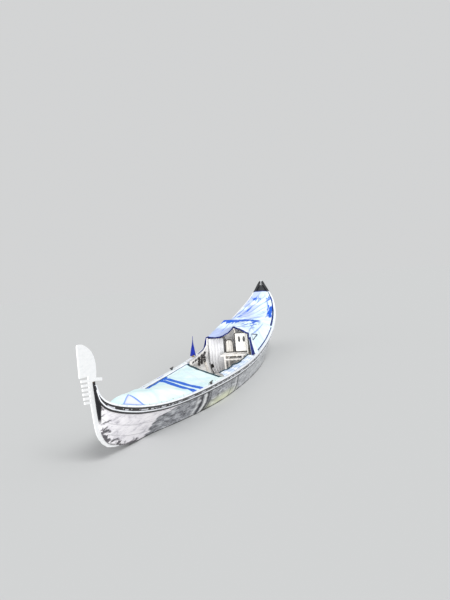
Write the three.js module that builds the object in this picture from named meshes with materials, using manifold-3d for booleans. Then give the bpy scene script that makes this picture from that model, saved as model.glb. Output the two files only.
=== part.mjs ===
// A covered wooden gondola, moored and empty: an asymmetric flat-bottomed hull with a steel bow iron,
// decks, thwarts, passenger seats, and cloth covers over the bow, the seats and the stern.
// Millimetres. +X is the bow, +Y is port, +Z is up. The origin is on the underside of the flat bottom,
// amidships.
import * as THREE from "three";
import { mergeVertices } from "three/addons/utils/BufferGeometryUtils.js";
import Module from "manifold-3d";

const wasm = await Module();
wasm.setup();

// Driving dimensions
const GAP = 0.6; // between pieces that touch
const PLANK = 14; // side planking
const BOTTOM = 20; // bottom planking
const RAIL_IN = 46; // cap rail, inboard of the planking's outer face
const RAIL_OUT = 16; // cap rail, outboard of it
const RAIL_HIGH = 22;
const STRAKE_DEEP = 92; // the black band under the cap rail
const STRAKE_THICK = 12;
const BEAD = { top: 50, bottom: 66, thick: 9 }; // the pale bead on the band: depths under the cap rail
const STEM_HALF = 11; // stem and stern post, between the planks
const PLANK_END = 28; // half-breadth of the hull where its planks end
const CLOTH = 8; // covers, with their folds
const DECK = 16;
const RIB_DEEP = 35;
const RIB_WIDE = 30;
const FLOOR_TOP = 79;

// The hull's stations, stern to bow. xb, zb: where the planks start at the bottom or at a post. cp, cs:
// half-breadth there, port and starboard. xs, zs, p, s: the same at the sheer.
const HULL = [
  { xb: -5262, zb: 1600, cp: 28, cs: 28, xs: -5296, zs: 1778, p: 30, s: 30 },
  { xb: -5195, zb: 1440, cp: 28, cs: 28, xs: -5225, zs: 1756, p: 60, s: 42 },
  { xb: -5090, zb: 1225, cp: 28, cs: 28, xs: -5130, zs: 1724, p: 98, s: 50 },
  { xb: -4955, zb: 1015, cp: 28, cs: 28, xs: -5020, zs: 1683, p: 144, s: 56 },
  { xb: -4770, zb: 810, cp: 28, cs: 28, xs: -4860, zs: 1618, p: 216, s: 66 },
  { xb: -4550, zb: 625, cp: 28, cs: 28, xs: -4640, zs: 1520, p: 318, s: 92 },
  { xb: -4290, zb: 462, cp: 36, cs: 32, xs: -4350, zs: 1378, p: 448, s: 152 },
  { xb: -3700, zb: 220, cp: 196, cs: 112, xs: -3700, zs: 1148, p: 618, s: 286 },
  { xb: -2800, zb: 66, cp: 408, cs: 238, xs: -2800, zs: 903, p: 752, s: 416 },
  { xb: -1900, zb: 27, cp: 548, cs: 330, xs: -1900, zs: 708, p: 796, s: 492 },
  { xb: -1000, zb: 20, cp: 630, cs: 395, xs: -1000, zs: 588, p: 806, s: 540 },
  { xb: 0, zb: 20, cp: 660, cs: 415, xs: 0, zs: 540, p: 818, s: 554 },
  { xb: 1000, zb: 20, cp: 636, cs: 398, xs: 1000, zs: 537, p: 797, s: 538 },
  { xb: 2000, zb: 36, cp: 544, cs: 338, xs: 2000, zs: 552, p: 722, s: 518 },
  { xb: 2900, zb: 72, cp: 332, cs: 232, xs: 2900, zs: 570, p: 604, s: 474 },
  { xb: 3700, zb: 148, cp: 108, cs: 84, xs: 3700, zs: 608, p: 446, s: 368 },
  { xb: 4300, zb: 224, cp: 34, cs: 32, xs: 4300, zs: 696, p: 294, s: 248 },
  { xb: 4560, zb: 284, cp: 28, cs: 28, xs: 4640, zs: 783, p: 202, s: 168 },
  { xb: 4720, zb: 332, cp: 28, cs: 28, xs: 4830, zs: 849, p: 144, s: 116 },
  { xb: 4870, zb: 396, cp: 28, cs: 28, xs: 4960, zs: 913, p: 102, s: 84 },
  { xb: 4970, zb: 486, cp: 28, cs: 28, xs: 5040, zs: 982, p: 70, s: 62 },
  { xb: 5036, zb: 620, cp: 28, cs: 28, xs: 5082, zs: 1066, p: 44, s: 42 },
  { xb: 5072, zb: 830, cp: 28, cs: 28, xs: 5100, zs: 1165, p: 30, s: 30 },
];
const BULGE = 16; // how far the sides swell outside a straight line, amidships
const BULGE_END = 4300;
const BOTTOM_ENDS = [-4282, 4542]; // the flat bottom's ends, where the posts begin
const BOTTOM_ROWS = [6 + 1 / 3, 16 + 2 / 3]; // the rows between them
const STEM_ROW = 17; // where the posts begin
const STERN_ROW = 6;
const STEPS = 3; // rows between two stations

// Finishes: colour, roughness, metalness
const FINISH = {
  hull: [0x4c5054, 0.6, 0],
  black: [0x16181c, 0.3, 0],
  rail: [0xd9dee4, 0.45, 0],
  deck: [0x23262b, 0.4, 0],
  timber: [0x8a7a66, 0.7, 0],
  floor: [0xb9ab94, 0.75, 0],
  cream: [0xefe7da, 0.8, 0],
  carved: [0x3a2c20, 0.45, 0],
  fore_tarpaulin: [0xd8f2f4, 0.7, 0],
  blue_tarpaulin: [0x7fa8dc, 0.7, 0],
  hood: [0x1d3f9a, 0.75, 0],
  cushion: [0xe4d8cc, 0.85, 0],
  steel: [0xdfe6ea, 0.3, 1],
  brass: [0xb08a3c, 0.35, 1],
};

// Geometry helpers

const V = (x, y, z) => new THREE.Vector3(x, y, z);
const mix = THREE.MathUtils.lerp;
const clamp = THREE.MathUtils.clamp;

// Turns a triangle list the right way round, so that its faces point out.
function closed(points, index) {
  let volume = 0;
  for (let i = 0; i < index.length; i += 3) {
    const [a, b, c] = [points[index[i]], points[index[i + 1]], points[index[i + 2]]];
    volume += a.dot(b.clone().cross(c));
  }
  if (volume < 0) index.reverse();
  const geometry = new THREE.BufferGeometry().setFromPoints(points);
  geometry.setIndex(index);
  return geometry;
}

// A closed solid between two surfaces, each a grid of points with the same rows and columns.
function between(a, b) {
  const rows = a.length;
  const cols = a[0].length;
  const at = (face, i, j) => (face * rows + i) * cols + j;
  const index = [];
  const quad = (p, q, r, s) => index.push(p, q, r, p, r, s);
  for (let i = 0; i < rows - 1; i++) {
    for (let j = 0; j < cols - 1; j++) {
      quad(at(0, i, j), at(0, i + 1, j), at(0, i + 1, j + 1), at(0, i, j + 1));
      quad(at(1, i, j), at(1, i, j + 1), at(1, i + 1, j + 1), at(1, i + 1, j));
    }
    quad(at(0, i, 0), at(1, i, 0), at(1, i + 1, 0), at(0, i + 1, 0));
    quad(at(0, i, cols - 1), at(0, i + 1, cols - 1), at(1, i + 1, cols - 1), at(1, i, cols - 1));
  }
  for (let j = 0; j < cols - 1; j++) {
    quad(at(0, 0, j), at(0, 0, j + 1), at(1, 0, j + 1), at(1, 0, j));
    quad(at(0, rows - 1, j), at(1, rows - 1, j), at(1, rows - 1, j + 1), at(0, rows - 1, j + 1));
  }
  return closed([...a.flat(), ...b.flat()], index);
}

// A closed solid through rings of points. section is the ring's flat outline, which closes the ends.
function through(rings, section) {
  const n = section.length;
  const last = (rings.length - 1) * n;
  const index = [];
  for (let k = 0; k < rings.length - 1; k++) {
    for (let i = 0; i < n; i++) {
      const j = (i + 1) % n;
      const [a, b, c, d] = [k * n + i, k * n + j, (k + 1) * n + j, (k + 1) * n + i];
      index.push(a, b, c, a, c, d);
    }
  }
  const sign = THREE.ShapeUtils.isClockWise(section) ? 1 : -1;
  for (const [a, b, c] of THREE.ShapeUtils.triangulateShape(section, [])) {
    if (sign > 0) index.push(a, b, c, last + a, last + c, last + b);
    else index.push(a, c, b, last + a, last + b, last + c);
  }
  return closed(rings.flat(), index);
}

// A cloth or a board: a surface given as a grid, and the same surface moved along its normals.
function thicken(grid, thickness) {
  const rows = grid.length;
  const cols = grid[0].length;
  const moved = grid.map((row, i) =>
    row.map((p, j) => {
      const along = grid[Math.min(i + 1, rows - 1)][j].clone().sub(grid[Math.max(i - 1, 0)][j]);
      const across = row[Math.min(j + 1, cols - 1)].clone().sub(row[Math.max(j - 1, 0)]);
      return p.clone().addScaledVector(along.cross(across).normalize(), thickness);
    }),
  );
  return between(grid, moved);
}

// A flat outline of [a, b] pairs as a shape, with elliptical holes of [centre a, centre b, ra, rb].
function outline(pairs, holes = []) {
  const shape = new THREE.Shape(pairs.map(([a, b]) => new THREE.Vector2(a, b)));
  for (const [a, b, ra, rb] of holes) {
    const hole = new THREE.Path();
    hole.absellipse(a, b, ra, rb, 0, 2 * Math.PI, true);
    shape.holes.push(hole);
  }
  return shape;
}

// A board cut from an outline in x and z, its thickness along y about the middle y.
function sideBoard(shape, y, thickness) {
  const geometry = new THREE.ExtrudeGeometry(shape, {
    depth: thickness,
    bevelEnabled: false,
    curveSegments: 8,
  });
  geometry.rotateX(Math.PI / 2);
  return geometry.translate(0, y + thickness / 2, 0);
}

// A board cut from an outline in y and z, its thickness along x from x.
function crossBoard(shape, x, thickness) {
  const geometry = new THREE.ExtrudeGeometry(shape, {
    depth: thickness,
    bevelEnabled: false,
    curveSegments: 8,
  });
  geometry.applyMatrix4(new THREE.Matrix4().makeBasis(V(0, 1, 0), V(0, 0, 1), V(1, 0, 0)));
  return geometry.translate(x, 0, 0);
}

function box(x0, x1, y0, y1, z0, z1) {
  const geometry = new THREE.BoxGeometry(x1 - x0, y1 - y0, z1 - z0);
  return geometry.translate((x0 + x1) / 2, (y0 + y1) / 2, (z0 + z1) / 2);
}

function rod(from, to, radius, sides = 10) {
  const length = from.distanceTo(to);
  const geometry = new THREE.CylinderGeometry(radius, radius, length, sides);
  const turn = new THREE.Quaternion().setFromUnitVectors(V(0, 1, 0), to.clone().sub(from).normalize());
  geometry.applyQuaternion(turn);
  const middle = from.clone().add(to).multiplyScalar(0.5);
  return geometry.translate(middle.x, middle.y, middle.z);
}

// Joins closed geometries that overlap into one.
function join(...geometries) {
  const solids = geometries.map((g) => {
    const bare = g.clone();
    bare.deleteAttribute("normal");
    bare.deleteAttribute("uv");
    const merged = mergeVertices(bare, 1e-3);
    return new wasm.Manifold(
      new wasm.Mesh({
        numProp: 3,
        vertProperties: merged.attributes.position.array,
        triVerts: new Uint32Array(merged.index.array),
      }),
    );
  });
  const mesh = solids.reduce((a, b) => a.add(b)).getMesh();
  const geometry = new THREE.BufferGeometry();
  geometry.setAttribute("position", new THREE.BufferAttribute(mesh.vertProperties, 3));
  return geometry.setIndex(new THREE.BufferAttribute(mesh.triVerts, 1));
}

// The hull's lines, each read at any x

function line(xKey, ...keys) {
  const xs = HULL.map((row) => row[xKey]);
  const values = HULL.flatMap((row) => keys.map((key) => row[key]));
  const curve = new THREE.CubicInterpolant(xs, values, keys.length);
  return (x) => [...curve.evaluate(clamp(x, xs[0], xs[xs.length - 1]))];
}
const sheerLine = line("xs", "zs", "p", "s");
const chineLine = line("xb", "zb", "cp", "cs");

function sheerAt(x) {
  const [z, port, starboard] = sheerLine(x);
  return { z, port, starboard };
}
function chineAt(x) {
  const [z, port, starboard] = chineLine(x);
  return { z: Math.max(z, BOTTOM), port, starboard };
}

// The hull's outer side at station f (a row number, with parts of a row), v from 0 at the bottom to 1
// at the sheer, moved out by some millimetres. side is 1 to port and -1 to starboard.
function sidePoint(f, v, side, out = 0) {
  const i = Math.min(Math.floor(f), HULL.length - 2);
  const xb = mix(HULL[i].xb, HULL[i + 1].xb, f - i);
  const xs = mix(HULL[i].xs, HULL[i + 1].xs, f - i);
  const low = chineAt(xb);
  const high = sheerAt(xs);
  const key = side > 0 ? "port" : "starboard";
  const swell = BULGE * Math.max(0, 1 - Math.abs(xb) / BULGE_END);
  const z0 = low.z + GAP;
  const slope = Math.hypot(high[key] - low[key], high.z - z0) / (high.z - z0);
  const y = mix(low[key], high[key], v) + 4 * swell * v * (1 - v) + out * slope;
  return V(mix(xb, xs, v), side * y, mix(z0, high.z, v));
}

// The planking's inner face at x and height z, between the hull's square stations.
function innerHalf(x, z, side) {
  const low = chineAt(x);
  const high = sheerAt(x);
  const key = side > 0 ? "port" : "starboard";
  const v = clamp((z - low.z) / (high.z - low.z), 0, 1);
  const slope = Math.hypot(high[key] - low[key], high.z - low.z) / (high.z - low.z);
  return mix(low[key], high[key], v) - PLANK * slope;
}

// Station numbers from one row to another
function stations(from, to) {
  const count = Math.round((to - from) * STEPS);
  return Array.from({ length: count + 1 }, (_, k) => from + k / STEPS);
}
const LAST = HULL.length - 1;

// Sub-parts

const gondola = new THREE.Group();

function add(name, finish, geometry) {
  const [color, roughness, metalness] = FINISH[finish];
  const mesh = new THREE.Mesh(
    geometry,
    new THREE.MeshStandardMaterial({ color, roughness, metalness }),
  );
  mesh.name = name;
  gondola.add(mesh);
}

const SIDES = [
  { name: "port", side: 1 },
  { name: "starboard", side: -1 },
];

// How far up the side the strake's lower edge and the bead's two edges are, at station f
function bandHeights(f, side) {
  const tall = sidePoint(f, 1, side).z - sidePoint(f, 0, side).z;
  return [STRAKE_DEEP, BEAD.bottom, BEAD.top].map((depth) => 1 - depth / tall);
}

function sidePlanking(side) {
  const face = (out) =>
    stations(0, LAST).map((f) => {
      const [strake, low, high] = bandHeights(f, side);
      return [0, strake / 3, (2 * strake) / 3, strake, low, high, 1].map((v) => sidePoint(f, v, side, out));
    });
  return between(face(0), face(-PLANK));
}

// Where the planking starts at the bottom, at station f
function bottomPoint(f) {
  const i = Math.min(Math.floor(f), LAST - 1);
  const x = mix(HULL[i].xb, HULL[i + 1].xb, f - i);
  return { x, z: chineAt(x).z };
}

function bottomPlanking() {
  const [aft, fore] = BOTTOM_ENDS;
  const face = (down) =>
    [aft, ...stations(BOTTOM_ROWS[0], BOTTOM_ROWS[1]).map((f) => bottomPoint(f).x), fore].map((x) => {
      const { z, port, starboard } = chineAt(x);
      return [-1, -0.5, 0, 0.5, 1].map((q) => V(x, q * (q > 0 ? port : starboard), z - down));
    });
  return between(face(0), face(BOTTOM));
}

// A post swept along the planks' ends: a tongue between the planks, and a wider nose outside them.
const NOSE = 8;
const POST = [
  [-55, -STEM_HALF],
  [1, -STEM_HALF],
  [1, -PLANK_END],
  [NOSE, 8 - PLANK_END],
  [NOSE, PLANK_END - 8],
  [1, PLANK_END],
  [1, STEM_HALF],
  [-55, STEM_HALF],
];
const STEM_HEAD = { x: 5104, z: 1204 };
const STERN_HEAD = { x: -5299, z: 1796 };
const STEM_LINE = [...stations(STEM_ROW, LAST).map(bottomPoint), STEM_HEAD];
const STERN_LINE = [...stations(0, STERN_ROW).reverse().map(bottomPoint), STERN_HEAD];

function postNormal(path, k) {
  const before = path[Math.max(k - 1, 0)];
  const after = path[Math.min(k + 1, path.length - 1)];
  const along = new THREE.Vector2(after.x - before.x, after.z - before.z).normalize();
  const outward = Math.sign(path[0].x);
  return { x: outward * Math.abs(along.y), z: -Math.abs(along.x) };
}

function post(path) {
  const section = POST.map(([n, y]) => new THREE.Vector2(n, y));
  const rings = path.map((point, k) => {
    const normal = postNormal(path, k);
    return POST.map(([n, y]) => V(point.x + n * normal.x, y, point.z + n * normal.z));
  });
  return through(rings, section);
}

// The direction square to the sheer at station f, in x and z
function sheerNormal(f) {
  const a = sidePoint(Math.max(f - 0.25, 0), 1, 1);
  const b = sidePoint(Math.min(f + 0.25, LAST), 1, 1);
  const along = new THREE.Vector2(b.x - a.x, b.z - a.z).normalize();
  return { x: -along.y, z: along.x };
}

function capRail(side) {
  const section = [
    [-RAIL_IN, GAP],
    [RAIL_OUT, GAP],
    [RAIL_OUT, RAIL_HIGH],
    [-RAIL_IN, RAIL_HIGH],
  ];
  const rings = stations(0, LAST).map((f) => {
    const edge = sidePoint(f, 1, side);
    const normal = sheerNormal(f);
    return section.map(([out, up]) => {
      const y = Math.max(Math.abs(edge.y) + out, STEM_HALF + 3);
      return V(edge.x + up * normal.x, side * y, edge.z + up * normal.z);
    });
  });
  return through(
    rings,
    section.map(([a, b]) => new THREE.Vector2(a, b)),
  );
}

// A band along the outside of the planking, from one distance out to another, between rows of it.
function sideBand(side, inner, outer, pick) {
  const face = (out) =>
    stations(0, LAST).map((f) => pick([...bandHeights(f, side), 1]).map((v) => sidePoint(f, v, side, out)));
  return between(face(outer), face(inner));
}

// A deck's boards as one crowned plate between the planks.
const DECK_GAP = 8;
function deck({ aft, fore, crown, drop }, count) {
  const face = (down) =>
    Array.from({ length: count + 1 }, (_, k) => {
      const x = mix(aft, fore, k / count);
      const edge = sheerAt(x);
      return [-1, -0.6, 0, 0.6, 1].map((q) => {
        const half = q > 0 ? edge.port : edge.starboard;
        const z = edge.z - drop + crown * half * (1 - q * q);
        const inner = Math.min(half, innerHalf(x, edge.z - drop - DECK, Math.sign(q)) + PLANK);
        return V(x, q * (inner - PLANK - DECK_GAP), z - down);
      });
    });
  return between(face(0), face(DECK));
}

// A block or board that fits between the hull's sides: x0 to x1, z0 to z1, with a clearance from them.
// Its ends are upright, so the lower face sets how wide it is. port and starboard may limit it.
function fitted(x0, x1, z0, z1, clearance, limit = 1e4) {
  const steps = Math.max(1, Math.round((x1 - x0) / 300));
  const face = (z) =>
    Array.from({ length: steps + 1 }, (_, k) => {
      const x = mix(x0, x1, k / steps);
      return [-1, 1].map((side) => {
        const half = Math.min(innerHalf(x, z0, side) - clearance, limit);
        return V(x, side * half, z);
      });
    });
  return between(face(z1), face(z0));
}

// A frame: a floor timber with a side timber up each side, cut from one outline across the boat.
const RIB_HEAD = 56; // how far the heads stop below the sheer
const RIB_LIFT = 6; // over the bottom planking's curve
function rib(x) {
  const ends = [x - RIB_WIDE / 2, x + RIB_WIDE / 2];
  const half = (z, side) => Math.min(...ends.map((e) => innerHalf(e, z, side))) - 6;
  const base = Math.max(...ends.map((e) => chineAt(e).z)) + RIB_LIFT;
  const head = Math.min(...ends.map((e) => sheerAt(e).z)) - RIB_HEAD;
  const floor = base + RIB_DEEP;
  const knee = floor + 45;
  const wall = (side) => [
    [side * half(base, side), base],
    [side * half(head, side), head],
    [side * (half(head, side) - RIB_DEEP), head],
    [side * (half(knee, side) - RIB_DEEP), knee],
    [side * (half(floor, side) - 2 * RIB_DEEP), floor],
  ];
  return crossBoard(outline([...wall(-1), ...wall(1).reverse()]), x - RIB_WIDE / 2, RIB_WIDE);
}

// The hull

SIDES.forEach(({ name, side }) => {
  add("side_planking_" + name, "hull", sidePlanking(side));
  add("cap_rail_" + name, "rail", capRail(side));
  add("sheer_strake_" + name, "black", sideBand(side, 1, STRAKE_THICK, (rows) => rows));
  const onStrake = STRAKE_THICK + GAP;
  add("rub_bead_" + name, "rail", sideBand(side, onStrake, onStrake + BEAD.thick, (rows) => rows.slice(1, 3)));
});
add("bottom_planking", "hull", bottomPlanking());
add("stem_post", "hull", post(STEM_LINE));
add("stern_post", "hull", post(STERN_LINE));

const RIBS = [-3350, -2550, -1750, -950, -150, 650, 1450, 2250, 3100];
RIBS.forEach((x, k) => add("rib_" + (k + 1), "timber", rib(x)));

// Decks, thwarts and floor

// drop: how far the deck's edges lie under the sheer. crown: how far its middle rises, as a share of
// its half-breadth.
const FORE_DECK = { aft: 3280, fore: 4890, drop: 33, crown: 0.28 };
const AFT_DECK = { aft: -5080, fore: -2950, drop: 12, crown: 0.06 };
add("fore_deck", "deck", deck(FORE_DECK, 8));
add("aft_deck", "deck", deck(AFT_DECK, 8));

const BEAM = { deep: 90, thick: 34 };
function deckBeam(x, drop) {
  const top = Math.min(sheerAt(x).z, sheerAt(x + BEAM.thick).z) - drop - DECK - 2;
  return fitted(x, x + BEAM.thick, top - BEAM.deep, top, 2);
}
add("fore_deck_beam", "timber", deckBeam(FORE_DECK.aft + 4, FORE_DECK.drop));
add("aft_deck_beam", "timber", deckBeam(AFT_DECK.fore - BEAM.thick - 4, AFT_DECK.drop));

const THWARTS = [
  { name: "thwart_fore", x: 2040, z: 400 },
  { name: "thwart_well", x: 1500, z: 390 },
  { name: "thwart_aft", x: -2770, z: 640 },
];
const THWART = { wide: 150, thick: 28 };
THWARTS.forEach(({ name, x, z }) =>
  add(name, "timber", fitted(x, x + THWART.wide, z, z + THWART.thick, 2)),
);

const FLOOR = [
  { name: "floor_panel_fore", x0: 260, x1: 1130 },
  { name: "floor_panel_middle", x0: -660, x1: 250 },
  { name: "floor_panel_aft", x0: -1580, x1: -670 },
];
FLOOR.forEach(({ name, x0, x1 }) =>
  add(name, "floor", fitted(x0, x1, FLOOR_TOP - 16, FLOOR_TOP, 80)),
);

// Passenger seats

const SEAT = { x0: -2390, x1: -1650, z0: 71, z1: 330, cushion: 92, wall: 95 };
add("main_seat_box", "cream", fitted(SEAT.x0, SEAT.x1, SEAT.z0, SEAT.z1, SEAT.wall, 460));
add(
  "main_seat_cushion",
  "cushion",
  fitted(SEAT.x0 + 12, SEAT.x1 + 10, SEAT.z1 + 1, SEAT.z1 + SEAT.cushion, SEAT.wall + 90, 450),
);
const SEAT_BACK = { x: -2440, thick: 26, top: 1015, half: 386 };
add(
  "main_seat_back",
  "carved",
  crossBoard(
    outline([
      [-180, 75],
      [330, 75],
      [SEAT_BACK.half, 420],
      [SEAT_BACK.half, SEAT_BACK.top - 40],
      [SEAT_BACK.half - 40, SEAT_BACK.top],
      [40 - SEAT_BACK.half, SEAT_BACK.top],
      [-SEAT_BACK.half, SEAT_BACK.top - 40],
      [-SEAT_BACK.half, 720],
      [-300, 470],
    ]),
    SEAT_BACK.x,
    SEAT_BACK.thick,
  ),
);

// The bench in front of it: a board with legs and a stretcher, and two chair backs on it.
const BENCH = { x0: -940, x1: -590, y0: 0, y1: 540, top: 552, board: 26, leg: 34 };
function bench() {
  const under = BENCH.top - BENCH.board;
  const legs = [BENCH.x0, BENCH.x1 - BENCH.leg].flatMap((x) =>
    [BENCH.y0 + 70, BENCH.y1 - 60 - BENCH.leg].map((y) =>
      box(x, x + BENCH.leg, y, y + BENCH.leg, FLOOR_TOP + 0.6, under + 5),
    ),
  );
  const front = BENCH.x1 - BENCH.leg + 6;
  const rail = (z, deep) => box(front, front + 20, BENCH.y0 + 75, BENCH.y1 - 65, z, z + deep);
  const board = box(BENCH.x0, BENCH.x1, BENCH.y0, BENCH.y1, under, BENCH.top);
  const tie = (y) => box(BENCH.x0 + 6, BENCH.x1 - 6, y, y + 20, under - 70, under - 40);
  return join(board, ...legs, rail(under - 85, 30), tie(BENCH.y0 + 77), tie(BENCH.y1 - 87));
}
add("passenger_bench", "cream", bench());

const CHAIR_BACK = { x: -938, thick: 24 };
add(
  "chair_back_tall",
  "cream",
  crossBoard(
    outline(
      [
        [244, BENCH.top + 1],
        [512, BENCH.top + 1],
        [518, 940],
        [496, 968],
        [268, 968],
        [242, 950],
      ],
      [
        [340, 822, 26, 62],
        [442, 822, 26, 62],
      ],
    ),
    CHAIR_BACK.x,
    CHAIR_BACK.thick,
  ),
);
const ROUND_BACK = new THREE.Shape();
ROUND_BACK.moveTo(28, BENCH.top + 1);
ROUND_BACK.lineTo(212, BENCH.top + 1);
ROUND_BACK.lineTo(212, 748);
ROUND_BACK.absarc(120, 748, 92, 0, Math.PI, false);
add("chair_back_round", "cream", crossBoard(ROUND_BACK, CHAIR_BACK.x, CHAIR_BACK.thick));

// Carved sides of the passenger well, each with a horn that rises aft
const CARVING_THICK = 18;
const CARVING_TOP = [
  [60, 500],
  [-300, 516],
  [-700, 545],
  [-960, 590],
];
const CARVING_FOOT = [
  [-1160, 500],
  [-1060, 420],
  [-500, 418],
  [60, 425],
];
const CARVING_HORN = [
  [-1110, 70],
  [-1180, 196],
  [-1218, 196],
  [-1225, 50],
]; // heights over the top's aft end
const CARVING_HOLES = [
  [-60, 462, 60, 22],
  [-230, 470, 70, 28],
  [-430, 480, 78, 34],
  [-650, 492, 84, 40],
  [-870, 506, 76, 46],
];
function carving(y, lift, horn) {
  const top = CARVING_TOP.map(([x, z]) => [x, z + lift]);
  const foot = CARVING_FOOT.map(([x, z]) => [x, z + lift]);
  const aft = CARVING_HORN.map(([x, rise]) => [x, 590 + lift + rise * horn]);
  const holes = CARVING_HOLES.map(([x, z, rx, rz]) => [x, z + lift, rx, rz]);
  return sideBoard(outline([...top, ...aft, ...foot], holes), y, CARVING_THICK);
}
add("side_carving_starboard", "carved", carving(-433, 60, 1));
add("side_carving_port", "carved", carving(688, 0, 0.3));

// The curtain that hangs inside the front of the tent, on its starboard side
const CURTAIN = { x: -1212, y1: -84, folds: 5, wave: 22 };
const CURTAIN_EDGE = [
  [82, -345],
  [260, -412],
  [826, -414],
]; // height, and how far to starboard it reaches there
function curtain() {
  const count = CURTAIN.folds * 4;
  const face = (thick) =>
    CURTAIN_EDGE.map(([z, edge]) =>
      Array.from({ length: count + 1 }, (_, k) => {
        const angle = (k / 4) * 2 * Math.PI;
        const y = mix(edge, CURTAIN.y1, k / count);
        return V(CURTAIN.x + CURTAIN.wave * (1 + Math.sin(angle)) + thick, y, z);
      }),
    );
  return between(face(0), face(CLOTH));
}
add("hanging_curtain", "cream", curtain());

// Covers

// Height of the cap rail's top at x, over its straight runs between stations
function railTop(x) {
  const rise = (sheerAt(x + 5).z - sheerAt(x - 5).z) / 10;
  return sheerAt(x).z + RAIL_HIGH * Math.hypot(1, rise) + 5;
}

// The bow cover lies on the rails, arches over the fore deck, and sags over the open part aft of it.
// Its aft edge runs slantwise.
const FORE_COVER = { tip: 4720, aftPort: 1830, aftStarboard: -20, inset: 22 };
// How far its middle stands over the rails, from its aft end to its tip
const COVER_RISE = [
  { x: 900, up: -40 },
  { x: 1300, up: -68 },
  { x: 1700, up: -76 },
  { x: 2100, up: -68 },
  { x: 2450, up: -46 },
  { x: 2750, up: -24 },
  { x: 3000, up: 20 },
  { x: 3250, up: 108 },
  { x: 3500, up: 148 },
  { x: 3850, up: 156 },
  { x: 4250, up: 148 },
  { x: 4500, up: 116 },
  { x: 4640, up: 72 },
  { x: 4720, up: 24 },
];
const coverRise = new THREE.CubicInterpolant(
  COVER_RISE.map(({ x }) => x),
  COVER_RISE.map(({ up }) => up),
  1,
);
// How far inboard of the cover's edge each column lies: millimetres, or this share of the half-breadth
const ON_RAIL = RAIL_IN - FORE_COVER.inset + 12;
const INBOARD = [
  [0, 0],
  [ON_RAIL, 0.2],
  [110, 0.4],
  [240, 0.7],
];
// How wide the slope between the rail and the full height is: over the deck, and where the cloth sags
const SLOPE = { rise: 200, sagPort: 300, sagStarboard: 120 };
function foreCover() {
  const half = (edge, side) => (side > 0 ? edge.port : edge.starboard) - FORE_COVER.inset;
  const inward = INBOARD.map(([mm, share]) => ({ side: -1, mm, share }));
  const outward = INBOARD.map(([mm, share]) => ({ side: 1, mm, share })).reverse();
  const columns = [...inward, { side: 1, mm: 1e4, share: 1 }, ...outward];
  const rows = 15;
  const top = Array.from({ length: rows + 1 }, (_, k) => {
    const s = k / rows;
    const nominal = sheerAt(mix(FORE_COVER.tip, (FORE_COVER.aftPort + FORE_COVER.aftStarboard) / 2, s));
    return columns.map(({ side, mm, share }) => {
      const out = 1 - Math.min(mm / half(nominal, side), share);
      const aft = mix(FORE_COVER.aftStarboard, FORE_COVER.aftPort, (1 + side * out) / 2);
      const x = mix(FORE_COVER.tip, aft, s);
      const reach = half(sheerAt(x), side);
      const inboard = Math.min(mm, share * reach);
      const [rise] = coverRise.evaluate(clamp(x, COVER_RISE[0].x, FORE_COVER.tip));
      const width = rise > 0 ? SLOPE.rise : side > 0 ? SLOPE.sagPort : SLOPE.sagStarboard;
      const slack = Math.sin((clamp((inboard - ON_RAIL) / width, 0, 1) * Math.PI) / 2);
      return V(x, side * (reach - inboard), railTop(x) + CLOTH + 1 + rise * slack);
    });
  });
  return thicken(top, CLOTH);
}
add("fore_cover", "fore_tarpaulin", foreCover());

// The part of the cover that is folded along the port rail beside the well. Columns: x at its outer
// edge, x at its inner edge, y there.
const SIDE_COVER = [
  [1790, 1560, 556],
  [1500, 1420, 566],
  [1200, 1180, 628],
  [900, 850, 594],
  [660, 660, 668],
  [150, 100, 652],
  [-200, -200, 672],
];
function sideCover() {
  const rise = 24;
  const top = SIDE_COVER.map(([outerX, innerX, inner]) => {
    const outer = sheerAt(outerX).port - FORE_COVER.inset;
    return [0, 0.35, 0.7, 1].map((w) => {
      const x = mix(outerX, innerX, w);
      const y = mix(outer, inner, w);
      return V(x, y, railTop(x) + CLOTH + 1 + rise * Math.sin(w * Math.PI * 0.8));
    });
  });
  return thicken(top, -CLOTH);
}
add("side_cover_port", "blue_tarpaulin", sideCover());

// The tent over the seats, from its front hem to the top of the main seat's back. Each row of the table
// is one line fore and aft: the hem's x, y, z, then y and z at the back.
const TENT_BACK = -2452;
const TENT = [
  [-1200, -488, 723, -396, 918],
  [-1210, -450, 868, -385, 1078],
  [-1150, -223, 843, -230, 1074],
  [-1078, -89, 878, -90, 1068],
  [-951, 123, 981, 90, 1062],
  [-882, 250, 1084, 200, 1056],
  [-735, 454, 1034, 335, 1046],
  [-588, 621, 972, 461, 1030],
  [-230, 742, 612, 742, 846],
];
function tentCover() {
  const rows = 6;
  const top = Array.from({ length: rows + 1 }, (_, k) => {
    const s = k / rows;
    return TENT.map(([x, y, z, backY, backZ], column) => {
      const at = mix(x, TENT_BACK, s);
      const foot = column === 0 || column === TENT.length - 1;
      const edge = column === 0 ? -(sheerAt(at).starboard - 24) : sheerAt(at).port - 24;
      const height = foot ? railTop(at) + CLOTH + 2 : mix(z, backZ, s) - 8 * Math.sin(s * Math.PI);
      const side = column === 0 ? edge : mix(y, edge, Math.min(1, 6 * s));
      return V(at, foot ? side : mix(y, backY, s), height);
    });
  });
  return thicken(top, CLOTH);
}
add("tent_cover", "blue_tarpaulin", tentCover());

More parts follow.
